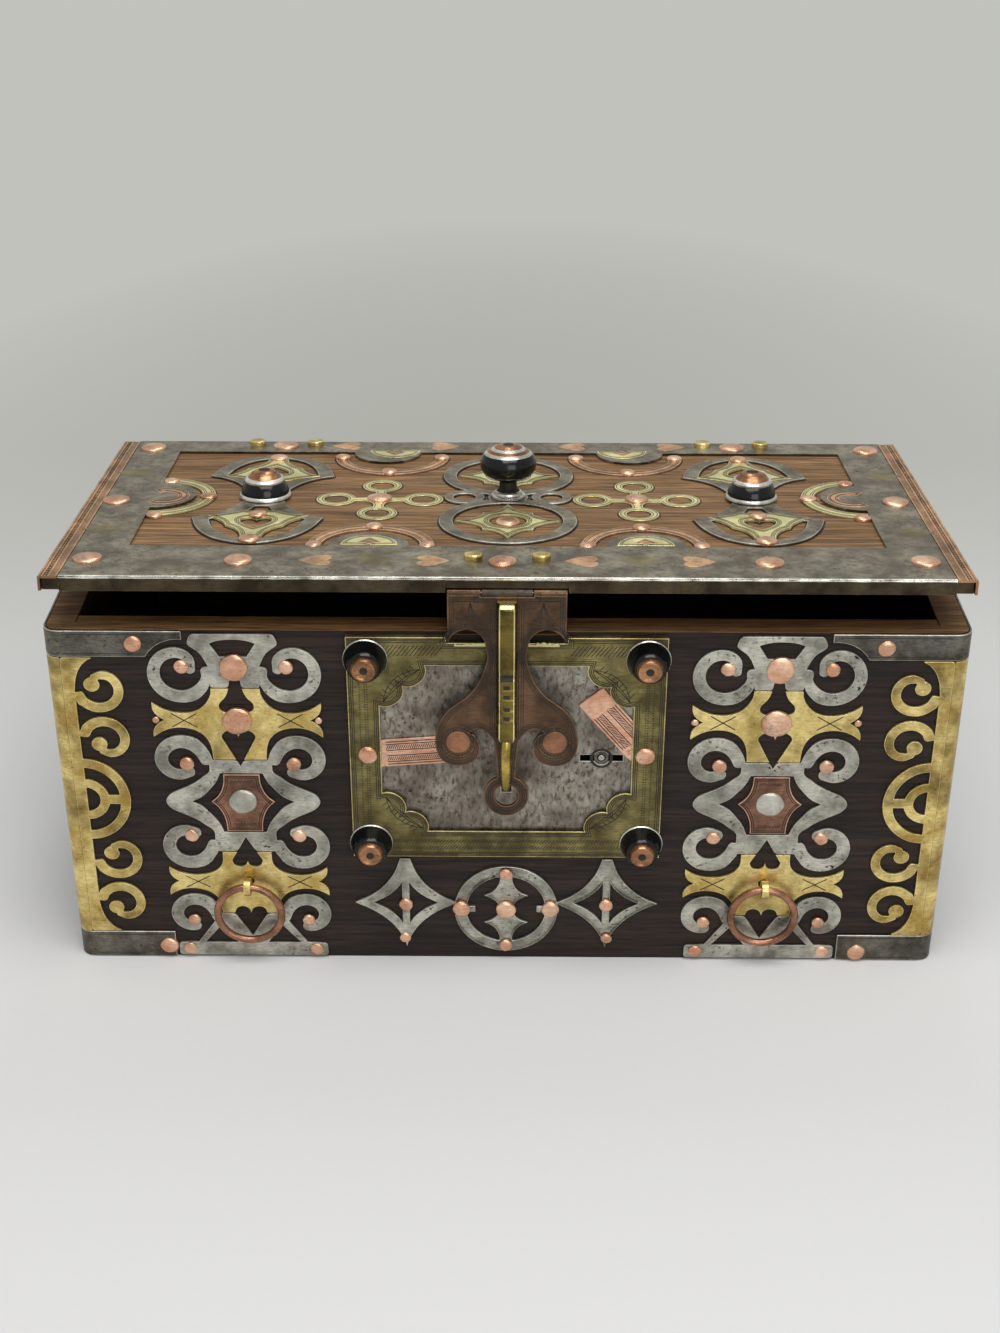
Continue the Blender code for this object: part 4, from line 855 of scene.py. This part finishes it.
def lock_dressing():
    plate("lock_plate", FRONT, 0.8, ("lock_iron", "iron_edge"))
    lock_rails()
    for row in ("upper", "lower"):
        for hand in ("left", "right"):
            node = f"{row}_{hand}_lock_knob"
            foot = min(spot.z for spot in spots_on(node, FRONT))
            turned_piece(node, FRONT, foot, LOCK_KNOB)
    spots = [(side * 58.3, 107.5, 4.1) for side in (-1, 1)]
    rivets("lock_rivets", FRONT, RAIL_TOP, spots, "chest")
    key = [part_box("keyhole_pin")[k] / MM for k in (0, 1)]
    centre = ((key[0].x + key[1].x) / 2, (key[0].z + key[1].z) / 2)
    bm = bmesh.new()
    add_plate(bm, FRONT, ring(centre, 4.8, 3.6), LOCK_TOP - 0.5, LOCK_TOP + 0.2, 0.15)
    piece("keyhole_rim", bm, "chest", ("groove", "hinge_iron"))
    bm = bmesh.new()
    add_plate(bm, FRONT, ring(centre, 3.1, 1.8), LOCK_TOP - 2.2, LOCK_TOP - 0.4, 0.2)
    piece("keyhole_collar", bm, "chest", ("strap_iron", "strap_iron"))
    copied("keyhole_pin", ("iron", "iron_edge"), 0.3)
    copied("lock_bolt", ("hinge_iron", "iron_edge"), 0.3)


def cover_lines(pivot, degrees):
    """Engraved bands along a cover, counted from its pivot."""
    def add(bm, loops, top):
        spot = Vector((pivot[0], pivot[2])) / MM
        for across in (-5.4, -4.2, -1.3, 1.3, 4.2, 5.4):
            path = placed([(8, across), (36, across)], spot, degrees)
            add_line(bm, FRONT, path, top)
        for across in (-2.75, 2.75):
            start, end = placed([(8, across), (36, across)], spot, degrees)
            add_hatch(bm, FRONT, start, end, 0.9, 0.9, 0.5, top)
    return add


LEFT_COVER_TILT = 4.5
KEYHOLE_COVER_TILT = 129.7


def lock_covers():
    finishes = ("copper", "copper_edge", "groove")
    for node, degrees in (("left_cover", LEFT_COVER_TILT), ("keyhole_cover", KEYHOLE_COVER_TILT)):
        pivot = JOINTS[f"{node}_pivot"]["pos_m"]
        plate(node, FRONT, 0.6, finishes, (), cover_lines(pivot, degrees))
    pivot = Vector(JOINTS["keyhole_cover_pivot"]["pos_m"]) / MM
    thumb = placed(rounded(rectangle(27.5, -6.2, 36.8, 6.2)), (pivot.x, pivot.z), KEYHOLE_COVER_TILT)
    bm = bmesh.new()
    top = level("keyhole_cover", FRONT)
    add_plate(bm, FRONT, [thumb], top - 0.2, top + 0.2, 0.15)
    piece("keyhole_cover_thumb", bm, "keyhole_cover", ("rivet_copper", "copper_edge"))


# Drop rings

def drop_rings():
    for hand in ("left", "right"):
        node = f"{hand}_ring"
        spots = spots_on(node, FRONT)
        low = [min(s[k] for s in spots) for k in range(3)]
        high = [max(s[k] for s in spots) for k in range(3)]
        wire = (high[2] - low[2]) / 2
        centre = ((low[0] + high[0]) / 2, (low[1] + high[1]) / 2)
        bm = bmesh.new()
        hand_made = wobbler(random.Random(node), 0.02)
        radius = (high[0] - low[0]) / 2 - wire
        add_tube(bm, FRONT, centre, radius, wire * 0.97, (low[2] + high[2]) / 2, wobble=hand_made)
        piece(f"{node}_finish", bm, node, ("ring_copper",), [node])
        copied(f"{hand}_ring_eye", ("brass", "brass_edge"), 0.4)


# Lid

def border_finish(face, on_edge):
    """The front lip takes a dark finish, its patina together with painted shade, and of the edges only the
    one along the front takes a pale finish, worn bright and with a painted highlight.
    """
    if on_edge:
        return int(face.normal.dot(LID_OUT) > 0.2 and (LID.inverted() @ face.calc_center_median()).y < 2)
    # Painted shade: faces of the border that look to the front take the dark lip finish.
    return 2 if face.normal.dot(LID_UP) < -0.9 else 0


def cap_section(inner, outer, low, top):
    """Across an end cap: four long ridges on top and the side turned down."""
    thick, base = 1.0, top - 0.35
    section = [(outer - thick, low, FACE), (outer, low, FACE), (outer, base - 0.5, FACE)]
    for middle in (outer - 0.55, outer - 1.85, outer - 3.1, outer - 4.35, inner + 0.55):
        for degrees in (0, 45, 90, 135, 180):
            spot = polar((middle, base), 0.52, degrees)
            rise = base + (spot.y - base) * 0.65
            section.append((spot.x, rise, EDGE if degrees in (90, 135) else FACE))
    return section + [(inner, top - thick, FACE), (outer - thick, top - thick, FACE)]


def lid_caps():
    """Copper caps over the lid's ends, ridged along their length and roped between two of the ridges."""
    for hand, side in (("left", -1), ("right", 1)):
        node = f"{hand}_lid_cap"
        spots = spots_on(node, LID)
        low, top = min(s.z for s in spots), max(s.z for s in spots)
        inner, outer = min(abs(s.x) for s in spots), max(abs(s.x) for s in spots)
        section = cap_section(inner, outer, low, top)
        bm = bmesh.new()
        sag = wobbler(random.Random(node), 0.02)
        rows = []
        for i in range(39):
            y = LID_DEPTH * i / 38
            drop = 0.1 * (sag(y / 14) - 1) / 0.02
            rows.append([bm.verts.new(LID @ Vector((side * x, y, z + min(0, drop)))) for x, z, _ in section])
        for one, two in zip(rows, rows[1:]):
            for i, (_, _, material) in enumerate(section):
                bm.faces.new((one[i - 1], one[i], two[i], two[i - 1])).material_index = material
        bm.faces.new(rows[0])
        bm.faces.new(rows[-1])
        x = side * (outer - 3.1)
        add_hatch(bm, LID, (x, 1), (x, LID_DEPTH - 1), 0.6, 2.2, 0.6 * side, top - 0.02)
        piece(f"{node}_finish", bm, "lid", ("cap_copper", "cap_edge", "groove"), [node])


def lid_edge():
    """The border's front edge, beaten round and rubbed bright, with a painted highlight in its pale finish.
    """
    reach = max(spot.x for spot in spots_on("lid_border", LID))
    beaten = wobbler(random.Random("edge"), 0.05)
    bm = bmesh.new()
    rows = []
    for i in range(181):
        x = -reach + 2 * reach * i / 180
        swell = beaten(i / 3.1) * 0.7 + beaten(i / 1.3) * 0.3
        ring_spots = circle((0.75, BORDER_TOP - 0.62), 0.85 * swell, 10)
        rows.append([bm.verts.new(LID @ Vector((x, *spot))) for spot in ring_spots])
    for one, two in zip(rows, rows[1:]):
        loft(bm, one, two, FACE)
    bm.faces.new(rows[0])
    bm.faces.new(rows[-1])
    piece("lid_front_edge", bm, "lid", ("bright_edge",))


def board_finish(face, on_edge):
    """The lid's front edge takes the dark lip finish as painted shade where the border leaves it bare."""
    return 2 if face.normal.dot(LID_UP) < -0.5 else int(on_edge)


def lid_shell():
    copied("lid_board", ("lid_wood", "worn_wood", "lip_iron"), 0.3, board_finish)
    copied("lid_border", ("lid_iron", "bright_edge", "lip_iron"), 0.5, border_finish)
    lid_caps()
    lid_edge()


def add_gap_shadows(bm, loops):
    """Dark gaps in the wood round an inlay: the joint, together with a painted shadow along the inlay's edge.
    """
    for loop in loops:
        add_line(bm, LID, shifted(loop, -0.3), PANEL_TOP, 0.8, closed=True)


def inlay(name, shapes, finish, top, contours=(1.0,), thick=INLAY, edge="brass_edge", slot="brass",
          gap_shadows=False):
    """Flat inlays let into the lid, one group of loops to a shape."""
    bm = bmesh.new()
    for loops in shapes:
        add_plate(bm, LID, loops, top - thick, top, 0.2)
        add_contours(bm, LID, loops, top, contours)
        # A dark strip on the wood round the inlay: the joint and a painted shadow.
        if gap_shadows:
            add_gap_shadows(bm, loops)
    return piece(name, bm, "lid", (finish, edge, "groove"))


def spear_plate(way):
    """The plate in half of a side frame: two wings, a point away from the knob and a heart-shaped hole."""
    right = [(0, 61), (4.5, 55)] + bend((4.5, 55), (5.5, 45), (12.5, 41), 5)
    right += bend((12.5, 41), (14, 34), (22, 28.5), 6) + bend((22, 28.5), (13, 26.5), (8, 22), 4) + [(0, 22)]
    outline = symmetric([Vector((x, -y)) for x, y in right])
    hole = placed(heart(7.0, 10.5), (0, -34))
    loops = [outline, hole[::-1]]
    return loops if way < 0 else [placed(loop, (0, 0), 180) for loop in loops]


def round_star():
    """The brass star in a round frame: four long points, four short ones and a round opening."""
    points = []
    for i in range(8):
        long_first = i % 2 == 0
        start = polar((0, 0), 22.5 if long_first else 15.5, 45 * i)
        end = polar((0, 0), 15.5 if long_first else 22.5, 45 * i + 45)
        points += bend(start, polar((0, 0), 11.5, 45 * i + 22.5), end, 5)
    return [points, circle((0, 0), 8.2, 28)[::-1]]


def quatrefoil():
    """Four rings joined by a cross with hollow sides."""
    reach, outer, hole = 19.5, 9.0, 5.4
    outline, holes = [], []
    for turn in (0, 90, 180, 270):
        centre, following = polar((0, 0), reach, turn), polar((0, 0), reach, turn + 90)
        outline += arc(centre, outer, turn - 164, turn + 164, 26)
        start = polar(following, outer, turn - 74)
        outline += bend(outline[-1], polar((0, 0), 1.8, turn + 45), start, 6)[:-1]
        holes.append(circle(centre, hole, 28)[::-1])
    return [outline] + holes


def lid_inlays():
    wood_top = PANEL_TOP + 0.4
    side_edge, front_edge, back_edge = 158.0, 38.0, LID_DEPTH - 17.0
    lobe = 57.5
    copper = dict(edge="copper_edge", slot="copper")
    for hand, side in (("left", -1), ("right", 1)):
        frame_x = side * FRAME_X
        inwards = 0 if side < 0 else 180
        spears = [[placed(loop, (frame_x, PANEL_MIDDLE)) for loop in spear_plate(way)] for way in (-1, 1)]
        inlay(f"{hand}_spear_plates", spears, "inlay_brass", FRAME_TOP + 0.25, (0.8, 1.5, 2.2), gap_shadows=True)
        bow = half_ring((side * side_edge, PANEL_MIDDLE), 26.5, 20.6, inwards)
        inlay(f"{hand}_side_bow", [[bow]], "inlay_brass", wood_top + 0.3, (0.9, 1.8), gap_shadows=True)
        cross = [placed(loop, (side * lobe, PANEL_MIDDLE - 2)) for loop in quatrefoil()]
        inlay(f"{hand}_quatrefoil", [cross], "inlay_brass", wood_top, (0.9,), gap_shadows=True)
        bows = [[half_ring((side * lobe, front_edge + 2), 27, 21, 90)],
                [half_ring((side * (lobe - 2), back_edge - 6), 27, 21, 270)]]
        inlay(f"{hand}_copper_bows", bows, "heart_copper", wood_top + 0.3, (0.9, 1.8), gap_shadows=True, **copper)
        curl = half_ring((side * 154, PANEL_MIDDLE - 2), 11.2, 6, inwards, 122)
        inlay(f"{hand}_lobe_curl", [[curl]], "heart_copper", BORDER_TOP + 0.12, (0.8, 1.5), 0.6, **copper)
        low_fan, high_fan = (side * (lobe + 0.5), front_edge + 1.5), (side * (lobe - 3), back_edge + 3)
        fans = [[half_ring(low_fan, 12, 0.6, 90)], [half_ring(high_fan, 12, 0.6, 270)]]
        inlay(f"{hand}_lobe_fans", fans, "inlay_brass", BORDER_TOP + 0.12, (1.0, 1.8), 0.6)
        triangle = [(-5.5, 2.4), (5.5, 2.4), (0, 8.8)]
        triangles = [[placed(triangle, low_fan)], [placed(triangle, high_fan, 180)]]
        inlay(f"{hand}_fan_triangles", triangles, "heart_copper", BORDER_TOP + 0.2, (1.2,), 0.6, **copper)
        hearts = []
        for y in (20.3, LID_DEPTH - 6.8):
            hearts.append([placed(heart(6.2, 10.5), (side * 34, y), -90 * side)])
            hearts.append([placed(heart(6.2, 10.5), (side * 75, y), 90 * side)])
        inlay(f"{hand}_border_hearts", hearts, "heart_copper", BORDER_TOP + 0.1, (), 0.6, "heart_copper",
              "copper")
        spots = ((side * 54.5, 21.5), (side * 172.5, 58), (side * 172.8, 138.6))
        diamonds = [[placed([(9, 0), (0, 7), (-9, 0), (0, -7)], spot)] for spot in spots]
        inlay(f"{hand}_border_diamonds", diamonds, "faded_brass", BORDER_TOP + 0.06, (), 0.6, "faded_brass")
    stars = [[placed(loop, (0, PANEL_MIDDLE + way * 32.5)) for loop in round_star()] for way in (-1, 1)]
    inlay("centre_stars", stars, "inlay_brass", PANEL_TOP + 0.8, (0.8, 1.5, 2.2), gap_shadows=True)


def lid_rivets():
    big = [(-172, 21.1), (-174.3, 97), (-171.6, 178), (-110, 19.5), (-108, 182.4), (-2, 19),
           (171, 21.4), (172.5, 99), (172.2, 178.1), (107, 19), (108, 181.8)]
    rivets("lid_border_rivets", LID, BORDER_TOP, [(x, y, 6.0) for x, y in big], "lid")
    low, inset_top = PANEL_TOP + 0.7, FRAME_TOP + 0.25
    bows, frames = [], []
    for side in (-1, 1):
        bows += [(side * 154.5, 126.5, 3.6), (side * 134.4, 104.5, 3.8), (side * 154.5, 78, 3.6)]
        bows += [(side * 81.3, 40.5, 3.6), (side * 57.3, 64, 3.8), (side * 33.6, 40.5, 3.6)]
        bows += [(side * 79, 165.5, 3.6), (side * 55.5, 143, 3.8), (side * 32, 165.5, 3.6)]
        bows.append((side * 57.5, PANEL_MIDDLE - 2, 5.4))
        frames += [(side * FRAME_X, PANEL_MIDDLE + 56, 4.2), (side * FRAME_X, PANEL_MIDDLE - 27.5, 4.0)]
        frames.append((side * FRAME_X, PANEL_MIDDLE - 60, 4.4))
    rivets("lid_bow_rivets", LID, low, bows, "lid")
    rivets("lid_frame_rivets", LID, inset_top, frames, "lid")
    stars = [(0, PANEL_MIDDLE - 34, 5.4), (0, PANEL_MIDDLE + 34, 5.4)]
    rivets("lid_star_rivets", LID, PANEL_TOP + 0.5, stars, "lid")


LOW_KNOB = (
    (11.6, 0, SILVER), (11.6, 0.7, SILVER), (11.2, 1.3, SILVER), (10.7, 1.5, SILVER), (10.7, 2.4, BLACK),
    (10.3, 4.0, BLACK), (9.4, 5.8, BLACK), (8.6, 6.6, BLACK), (8.8, 6.8, SILVER), (8.9, 7.6, SILVER),
    (8.3, 8.5, SILVER), (7.4, 8.7, SILVER), (7.3, 8.8, PINK), (6.6, 9.9, PINK), (5.6, 10.7, PINK),
    (5.3, 10.7, DARK), (5.0, 11.1, PINK), (3.6, 11.7, PINK), (2.6, 11.8, PINK), (2.2, 11.4, DARK),
    (0.3, 11.3, DARK),
)
TALL_KNOB = (
    (7.7, 0, SILVER), (7.7, 0.9, SILVER), (7.2, 1.3, SILVER), (6.4, 1.5, SILVER), (6.2, 2.4, SILVER),
    (5.2, 2.8, SILVER), (4.0, 4.2, DARK), (3.8, 7.2, DARK), (4.6, 8.2, BLACK), (8.0, 9.2, BLACK),
    (11.0, 11.0, BLACK), (12.4, 13.2, BLACK), (12.7, 15.4, BLACK), (12.3, 17.6, BLACK), (11.3, 19.3, BLACK),
    (10.7, 19.9, BLACK), (10.5, 20.2, SILVER), (9.8, 20.8, SILVER), (9.4, 21.0, SILVER), (9.2, 21.0, PINK),
    (7.7, 21.9, PINK), (7.5, 22.1, SILVER), (6.7, 22.7, SILVER), (6.3, 22.8, SILVER), (6.1, 22.8, PINK),
    (4.6, 23.6, PINK), (2.4, 23.9, PINK), (2.0, 23.7, DARK), (0.3, 23.6, DARK),
)


def lid_knobs():
    foot = FRAME_TOP + 0.3
    for hand, profile in (("left", LOW_KNOB), ("centre", TALL_KNOB), ("right", LOW_KNOB)):
        turned_piece(f"{hand}_lid_knob", LID, foot, profile)


def lid_frames():
    finishes = ("lid_iron", "iron_edge", "groove")
    for hand in ("left", "centre", "right"):
        plate(f"{hand}_lid_frame", LID, 0.8, finishes, extra=lambda bm, loops, top: add_gap_shadows(bm, loops))


def tab_caps():
    """Brass heads on the six tabs that hold the leaves to the lid."""
    bm = bmesh.new()
    for x, y in ((-122, 185), (-94, 185), (94, 185), (122, 185), (-14, 23), (14, 23)):
        outline = placed(rounded(rectangle(-3.1, -2.2, 3.1, 2.2), math.radians(95)), (x, y))
        add_plate(bm, LID, [outline], BORDER_TOP - 0.2, BORDER_TOP + 2.3, 0.7)
    piece("tab_heads", bm, "lid", ("brass", "brass_edge"))


# Hinges and hasp

def hinges():
    for hand in ("left", "right"):
        for part in ("hinge_lid_leaf", "hinge_body_leaf", "hinge_pin"):
            copied(f"{hand}_{part}", ("hinge_iron", "strap_iron"), 0.2)
        node = f"{hand}_hinge_body_leaf"
        spots = spots_on(node, BACK)
        left, right, foot = min(s.x for s in spots), max(s.x for s in spots), min(s.y for s in spots)
        top = max(s.z for s in spots if s.y < foot + 1)
        heads = [(x, foot + up, 2.3) for x in (left + 6, right - 6) for up in (6, 19)]
        rivets(f"{hand}_hinge_rivets", BACK, top, heads, "chest", "strap_iron")
    copied("hasp_leaf", ("hinge_iron", "strap_iron"), 0.2)


BULB_X, BULB_Y = 20.0, -65.5
BAR_WIDER = 0.5
BAR_SHORTER = 2.8


def hasp_marks(bm, top):
    """Spirals and rays in the bulbs, long lines beside the bar and a spray of leaves in each upper square."""
    for side in (-1, 1):
        spiral = [polar((BULB_X, BULB_Y), 8.0 - 2.6 * i / 48, 15 * i + 90) for i in range(49)]
        add_line(bm, HASP, [Vector((side * p.x, p.y)) for p in spiral], top, 0.3)
        for i in range(26):
            ends = [polar((BULB_X, BULB_Y), radius, 14 * i + 5 * radius) for radius in (5.0, 6.6)]
            add_line(bm, HASP, [Vector((side * p.x, p.y)) for p in ends], top, 0.3)
        for x in (4.9, 5.9, 6.8):
            add_line(bm, HASP, [Vector((side * x, -4)), Vector((side * x, -60))], top, 0.3)
        tip = Vector((side * 14.8, -3.6))
        for reach in (-6.2, -4.4, -2.2, 2.2, 4.4, 6.2):
            foot = Vector((side * (14.8 + reach), -14.2 + abs(reach) * 0.12))
            add_line(bm, HASP, [tip] + bend(tip, (side * (14.8 + reach * 0.3), -11), foot, 8), top, 0.3)
        for low in (-3.0, -15.2):
            add_line(bm, HASP, [Vector((side * 7.6, low)), Vector((side * 22.0, low))], top, 0.3)


def bar_section(half, low, shoulder, flat, high):
    """Half-round corners on a bar that is narrower on top."""
    right = [(half, low), (half, shoulder - 0.3), (half - 0.25, shoulder + 0.3), (flat + 0.3, high - 0.35)]
    right += [(flat - 0.2, high - 0.03), (flat * 0.45, high)]
    return right + [(-x, z) for x, z in reversed(right)]


def hasp_bar():
    """The brass bar, dented where it was hit, and the finger below it. Its dark finish is tarnish together
    with a painted dark reflection, its shoulder lines take a painted highlight, and its dents hold painted
    shade.
    """
    spots = spots_on("hasp_bar", HASP)
    main = [s for s in spots if abs(s.x) > 3]
    half, low, shoulder = max(s.x for s in main) + BAR_WIDER, min(s.z for s in main), max(s.z for s in main)
    upper, lower, tail = max(s.y for s in main), min(s.y for s in main), min(s.y for s in spots)
    crest = max(s.z for s in spots if s.y > lower + 3)
    lower += BAR_SHORTER
    chance = random.Random("dents")
    dents = [(upper - 31 - 4.6 * i + chance.uniform(-0.6, 0.6), chance.uniform(0.35, 0.7)) for i in range(5)]
    rows = []
    bm = bmesh.new()
    count = 100
    for i in range(count + 1):
        y = upper + (lower - upper) * i / count
        depth = sum(deep * math.exp(-((y - at) / 1.1) ** 2) for at, deep in dents)
        worn = 0.45 if i in (0, count) else 0.12 if i in (1, count - 1) else 0.0
        slope = max(0.0, 1.6 - 0.8 * (upper - y))
        section = bar_section(half - worn, low, shoulder, half * 0.68 - worn, crest - depth - worn - slope)
        rows.append([bm.verts.new(HASP @ Vector((x, y, z))) for x, z in section])
    sides = len(rows[0])
    for number, (one, two) in enumerate(zip(rows, rows[1:])):
        for k in range(sides):
            # The shoulder lines and the sloped upper end take the pale edge finish: wear together with a
            # painted highlight.
            edge = k in (4, sides - 4) or (number < 3 and 3 < k < sides - 3)
            y = upper + (lower - upper) * (number + 0.5) / count
            off = abs(k - sides // 2)
            # Painted shade: the faces in the middle of each dent take the dark groove finish.
            dent_shade = any(abs(y - at) < 2.4 * deep and off <= 2 * deep - 0.1 for at, deep in dents)
            face = bm.faces.new((one[k - 1], one[k], two[k], two[k - 1]))
            face.material_index = GROOVE if dent_shade else EDGE if edge else FACE
    bm.faces.new(rows[0]).material_index = EDGE
    bm.faces.new(rows[-1])
    finger = []
    for i in range(25):
        y = lower + 1.5 + (tail - lower - 1.5) * i / 24
        slim = 1.0 if i < 21 else (1.0, 0.99, 0.96, 0.84)[i - 21]
        middle = Vector((-0.3 * min(1, i / 6), y, 7.75 - 0.0195 * (y + 70.5) ** 2))
        lean = math.atan(0.039 * (y + 70.5))
        row = []
        for k in range(16):
            angle = math.radians(22.5 * k)
            across, thick = 1.95 * slim * math.cos(angle), 1.35 * slim * math.sin(angle)
            spot = middle + Vector((across, thick * math.sin(lean), thick * math.cos(lean)))
            row.append(bm.verts.new(HASP @ spot))
        finger.append(row)
    for one, two in zip(finger, finger[1:]):
        loft(bm, one, two, 3)
    bm.faces.new(finger[0]).material_index = 3
    bm.faces.new(finger[-1]).material_index = 3
    finishes = ("bar_brass", "brass_edge", "groove", "finger_brass")
    piece("hasp_bar_finish", bm, "hasp", finishes, ["hasp_bar"])


def hasp_dressing():
    node = "hasp_plate"
    loops, top = node_loops(node, HASP), level(node, HASP)
    bm = bmesh.new()
    add_plate(bm, HASP, loops, top - 1.5, top)
    add_contours(bm, HASP, loops, top, (1.0, 1.7, 2.5))
    hasp_marks(bm, top)
    for low, high in ((-24.2, -10.7), (10.7, 24.2)):
        profile = [(2.0, low, EDGE), (2.1, low + 0.2, FACE), (2.1, high - 0.2, FACE), (2.0, high, EDGE)]
        add_turned(bm, HASP_AXLE, (0, 0), 0, profile, 24)
    piece("hasp_plate_finish", bm, "hasp", ("hasp_copper", "hasp_edge", "groove"), [node])
    bm = bmesh.new()
    for side in (-1, 1):
        dome = [(5.0, -0.2, FACE), (4.9, 0.02, FACE), (4.2, 0.14, FACE), (3.0, 0.26, FACE), (1.8, 0.33, FACE)]
        dome += [(0.3, 0.36, FACE)]
        add_turned(bm, HASP, (side * BULB_X, BULB_Y), top, dome, 32)
    piece("hasp_bulbs", bm, "hasp", ("bulb_copper",))
    hasp_bar()
    copied("hasp_staple", ("hinge_iron", "iron_edge"), 0.2)
    copied("hasp_pin", ("hinge_iron", "iron_edge"), 0.1)


# Stage, light and camera

FLOOR = tone(217, 217, 217)
# Painted shade: the floor's darker colour behind the box stands for the box's shadow.
SHADE_BEHIND_BOX = tone(184, 185, 178)
DISTANCE = tone(193, 194, 188)
FLOOR_REACH = 9.0


def seen(tree):
    """1 for what the camera or a reflection looks at, 0 for light on its way to a surface."""
    path = tree.nodes.new("ShaderNodeLightPath")
    found = path.outputs["Is Camera Ray"]
    for name in ("Is Glossy Ray", "Is Transmission Ray"):
        larger = tree.nodes.new("ShaderNodeMath")
        larger.operation = "MAXIMUM"
        tree.links.new(found, larger.inputs[0])
        tree.links.new(path.outputs[name], larger.inputs[1])
        found = larger.outputs[0]
    return found


def stage():
    """A pale floor, darker behind the box as painted shade for the box's shadow, that fades into one even
    colour in the distance.
    """
    bm = bmesh.new()
    bm.faces.new([bm.verts.new((*spot, 0)) for spot in circle((0, 0), FLOOR_REACH, 64)])
    mesh = bpy.data.meshes.new("floor")
    bm.to_mesh(mesh)
    bm.free()
    finish = Finish("paper", 0.0)
    finish.shader.inputs["Specular IOR Level"].default_value = 0.0
    fibres = finish.noise(240, detail=5)
    depth = finish.node("ShaderNodeSeparateXYZ", {0: finish.place}).outputs["Y"]
    # The reach is squeezed sideways, so the painted shade behind the box fades into the distance sooner at
    # the sides.
    spread = finish.node("ShaderNodeVectorMath", {0: finish.place, 1: (1.8, 1, 1)}, operation="MULTIPLY")
    reach = finish.node("ShaderNodeVectorMath", {0: spread.outputs[0]}, operation="LENGTH").outputs["Value"]
    far = finish.ramp(reach, 0.55, 1.1)
    # Painted shade: the floor darkens from the box's front to half a metre behind it.
    colour = finish.mix(finish.ramp(depth, 0.0, 0.5), FLOOR, SHADE_BEHIND_BOX)
    colour = finish.mix(finish.ramp(fibres, 0.3, 0.7, 0, 0.05), colour, dimmed(FLOOR, 0.8))
    colour = finish.mix(far, colour, dimmed(FLOOR, 0.0))
    finish.shader.inputs["Emission Color"].default_value = DISTANCE
    glow = finish.math("MULTIPLY", far, seen(finish.material.node_tree))
    finish.links.new(glow, finish.shader.inputs["Emission Strength"])
    mesh.materials.append(finish.done(colour, finish.ramp(fibres, 0.3, 0.7, 0.8, 0.95), fibres, 0.05))
    floor = bpy.data.objects.new("floor", mesh)
    bpy.context.scene.collection.objects.link(floor)


def lamp(name, place, target, size, watts):
    data = bpy.data.lights.new(name, "AREA")
    data.shape = "RECTANGLE"
    data.size, data.size_y = size
    data.energy = watts
    obj = bpy.data.objects.new(name, data)
    obj.location = place
    obj.rotation_euler = (Vector(target) - Vector(place)).to_track_quat("-Z", "Y").to_euler()
    bpy.context.scene.collection.objects.link(obj)


def lights():
    world = bpy.data.worlds.new("studio")
    world.use_nodes = True
    tree = world.node_tree
    light = tree.nodes["Background"]
    light.inputs["Color"].default_value = (1.0, 0.99, 0.97, 1.0)
    light.inputs["Strength"].default_value = 0.36
    view = tree.nodes.new("ShaderNodeBackground")
    view.inputs["Color"].default_value = DISTANCE
    both = tree.nodes.new("ShaderNodeMixShader")
    tree.links.new(seen(tree), both.inputs[0])
    tree.links.new(light.outputs[0], both.inputs[1])
    tree.links.new(view.outputs[0], both.inputs[2])
    tree.links.new(both.outputs[0], tree.nodes["World Output"].inputs["Surface"])
    bpy.context.scene.world = world
    lamp("overhead", (0.1, -0.5, 1.7), (0, 0, 0.1), (1.5, 1.0), 21)
    lamp("high_back", (0.05, 0.75, 1.35), (0, -0.1, 0.1), (0.25, 0.6), 2.5)
    lamp("front_fill", (0.5, -2.0, 0.9), (0, 0, 0.1), (1.2, 1.2), 12)


CAMERA_PLACE = Vector((0.0020, -0.7916, 0.5334))
CAMERA_YAW = math.radians(-0.395)
CAMERA_PITCH = math.radians(28.819)
CAMERA_ROLL = math.radians(0.1)
FOCAL_PIXELS = 1940.7
PHOTO_HEIGHT = 1333.0
SENSOR = 36.0


def camera():
    forward = Vector((
        math.sin(CAMERA_YAW) * math.cos(CAMERA_PITCH),
        math.cos(CAMERA_YAW) * math.cos(CAMERA_PITCH),
        -math.sin(CAMERA_PITCH),
    ))
    level_right = Vector((math.cos(CAMERA_YAW), -math.sin(CAMERA_YAW), 0))
    level_up = level_right.cross(forward)
    right = level_right * math.cos(CAMERA_ROLL) + level_up * math.sin(CAMERA_ROLL)
    up = level_up * math.cos(CAMERA_ROLL) - level_right * math.sin(CAMERA_ROLL)
    data = bpy.data.cameras.new("photo_camera")
    data.sensor_width = SENSOR
    data.lens = FOCAL_PIXELS / PHOTO_HEIGHT * SENSOR
    obj = bpy.data.objects.new("photo_camera", data)
    turn = Matrix((right, up, -forward)).transposed().to_4x4()
    obj.matrix_world = Matrix.Translation(CAMERA_PLACE) @ turn
    bpy.context.scene.collection.objects.link(obj)
    bpy.context.scene.camera = obj
    bpy.context.scene.view_settings.view_transform = "Standard"


camera()
stage()
lights()
box_boards()
straps()
corner_scrolls()
columns()
lock_dressing()
lock_covers()
drop_rings()
lid_shell()
lid_frames()
lid_inlays()
lid_rivets()
lid_knobs()
tab_caps()
hinges()
hasp_dressing()
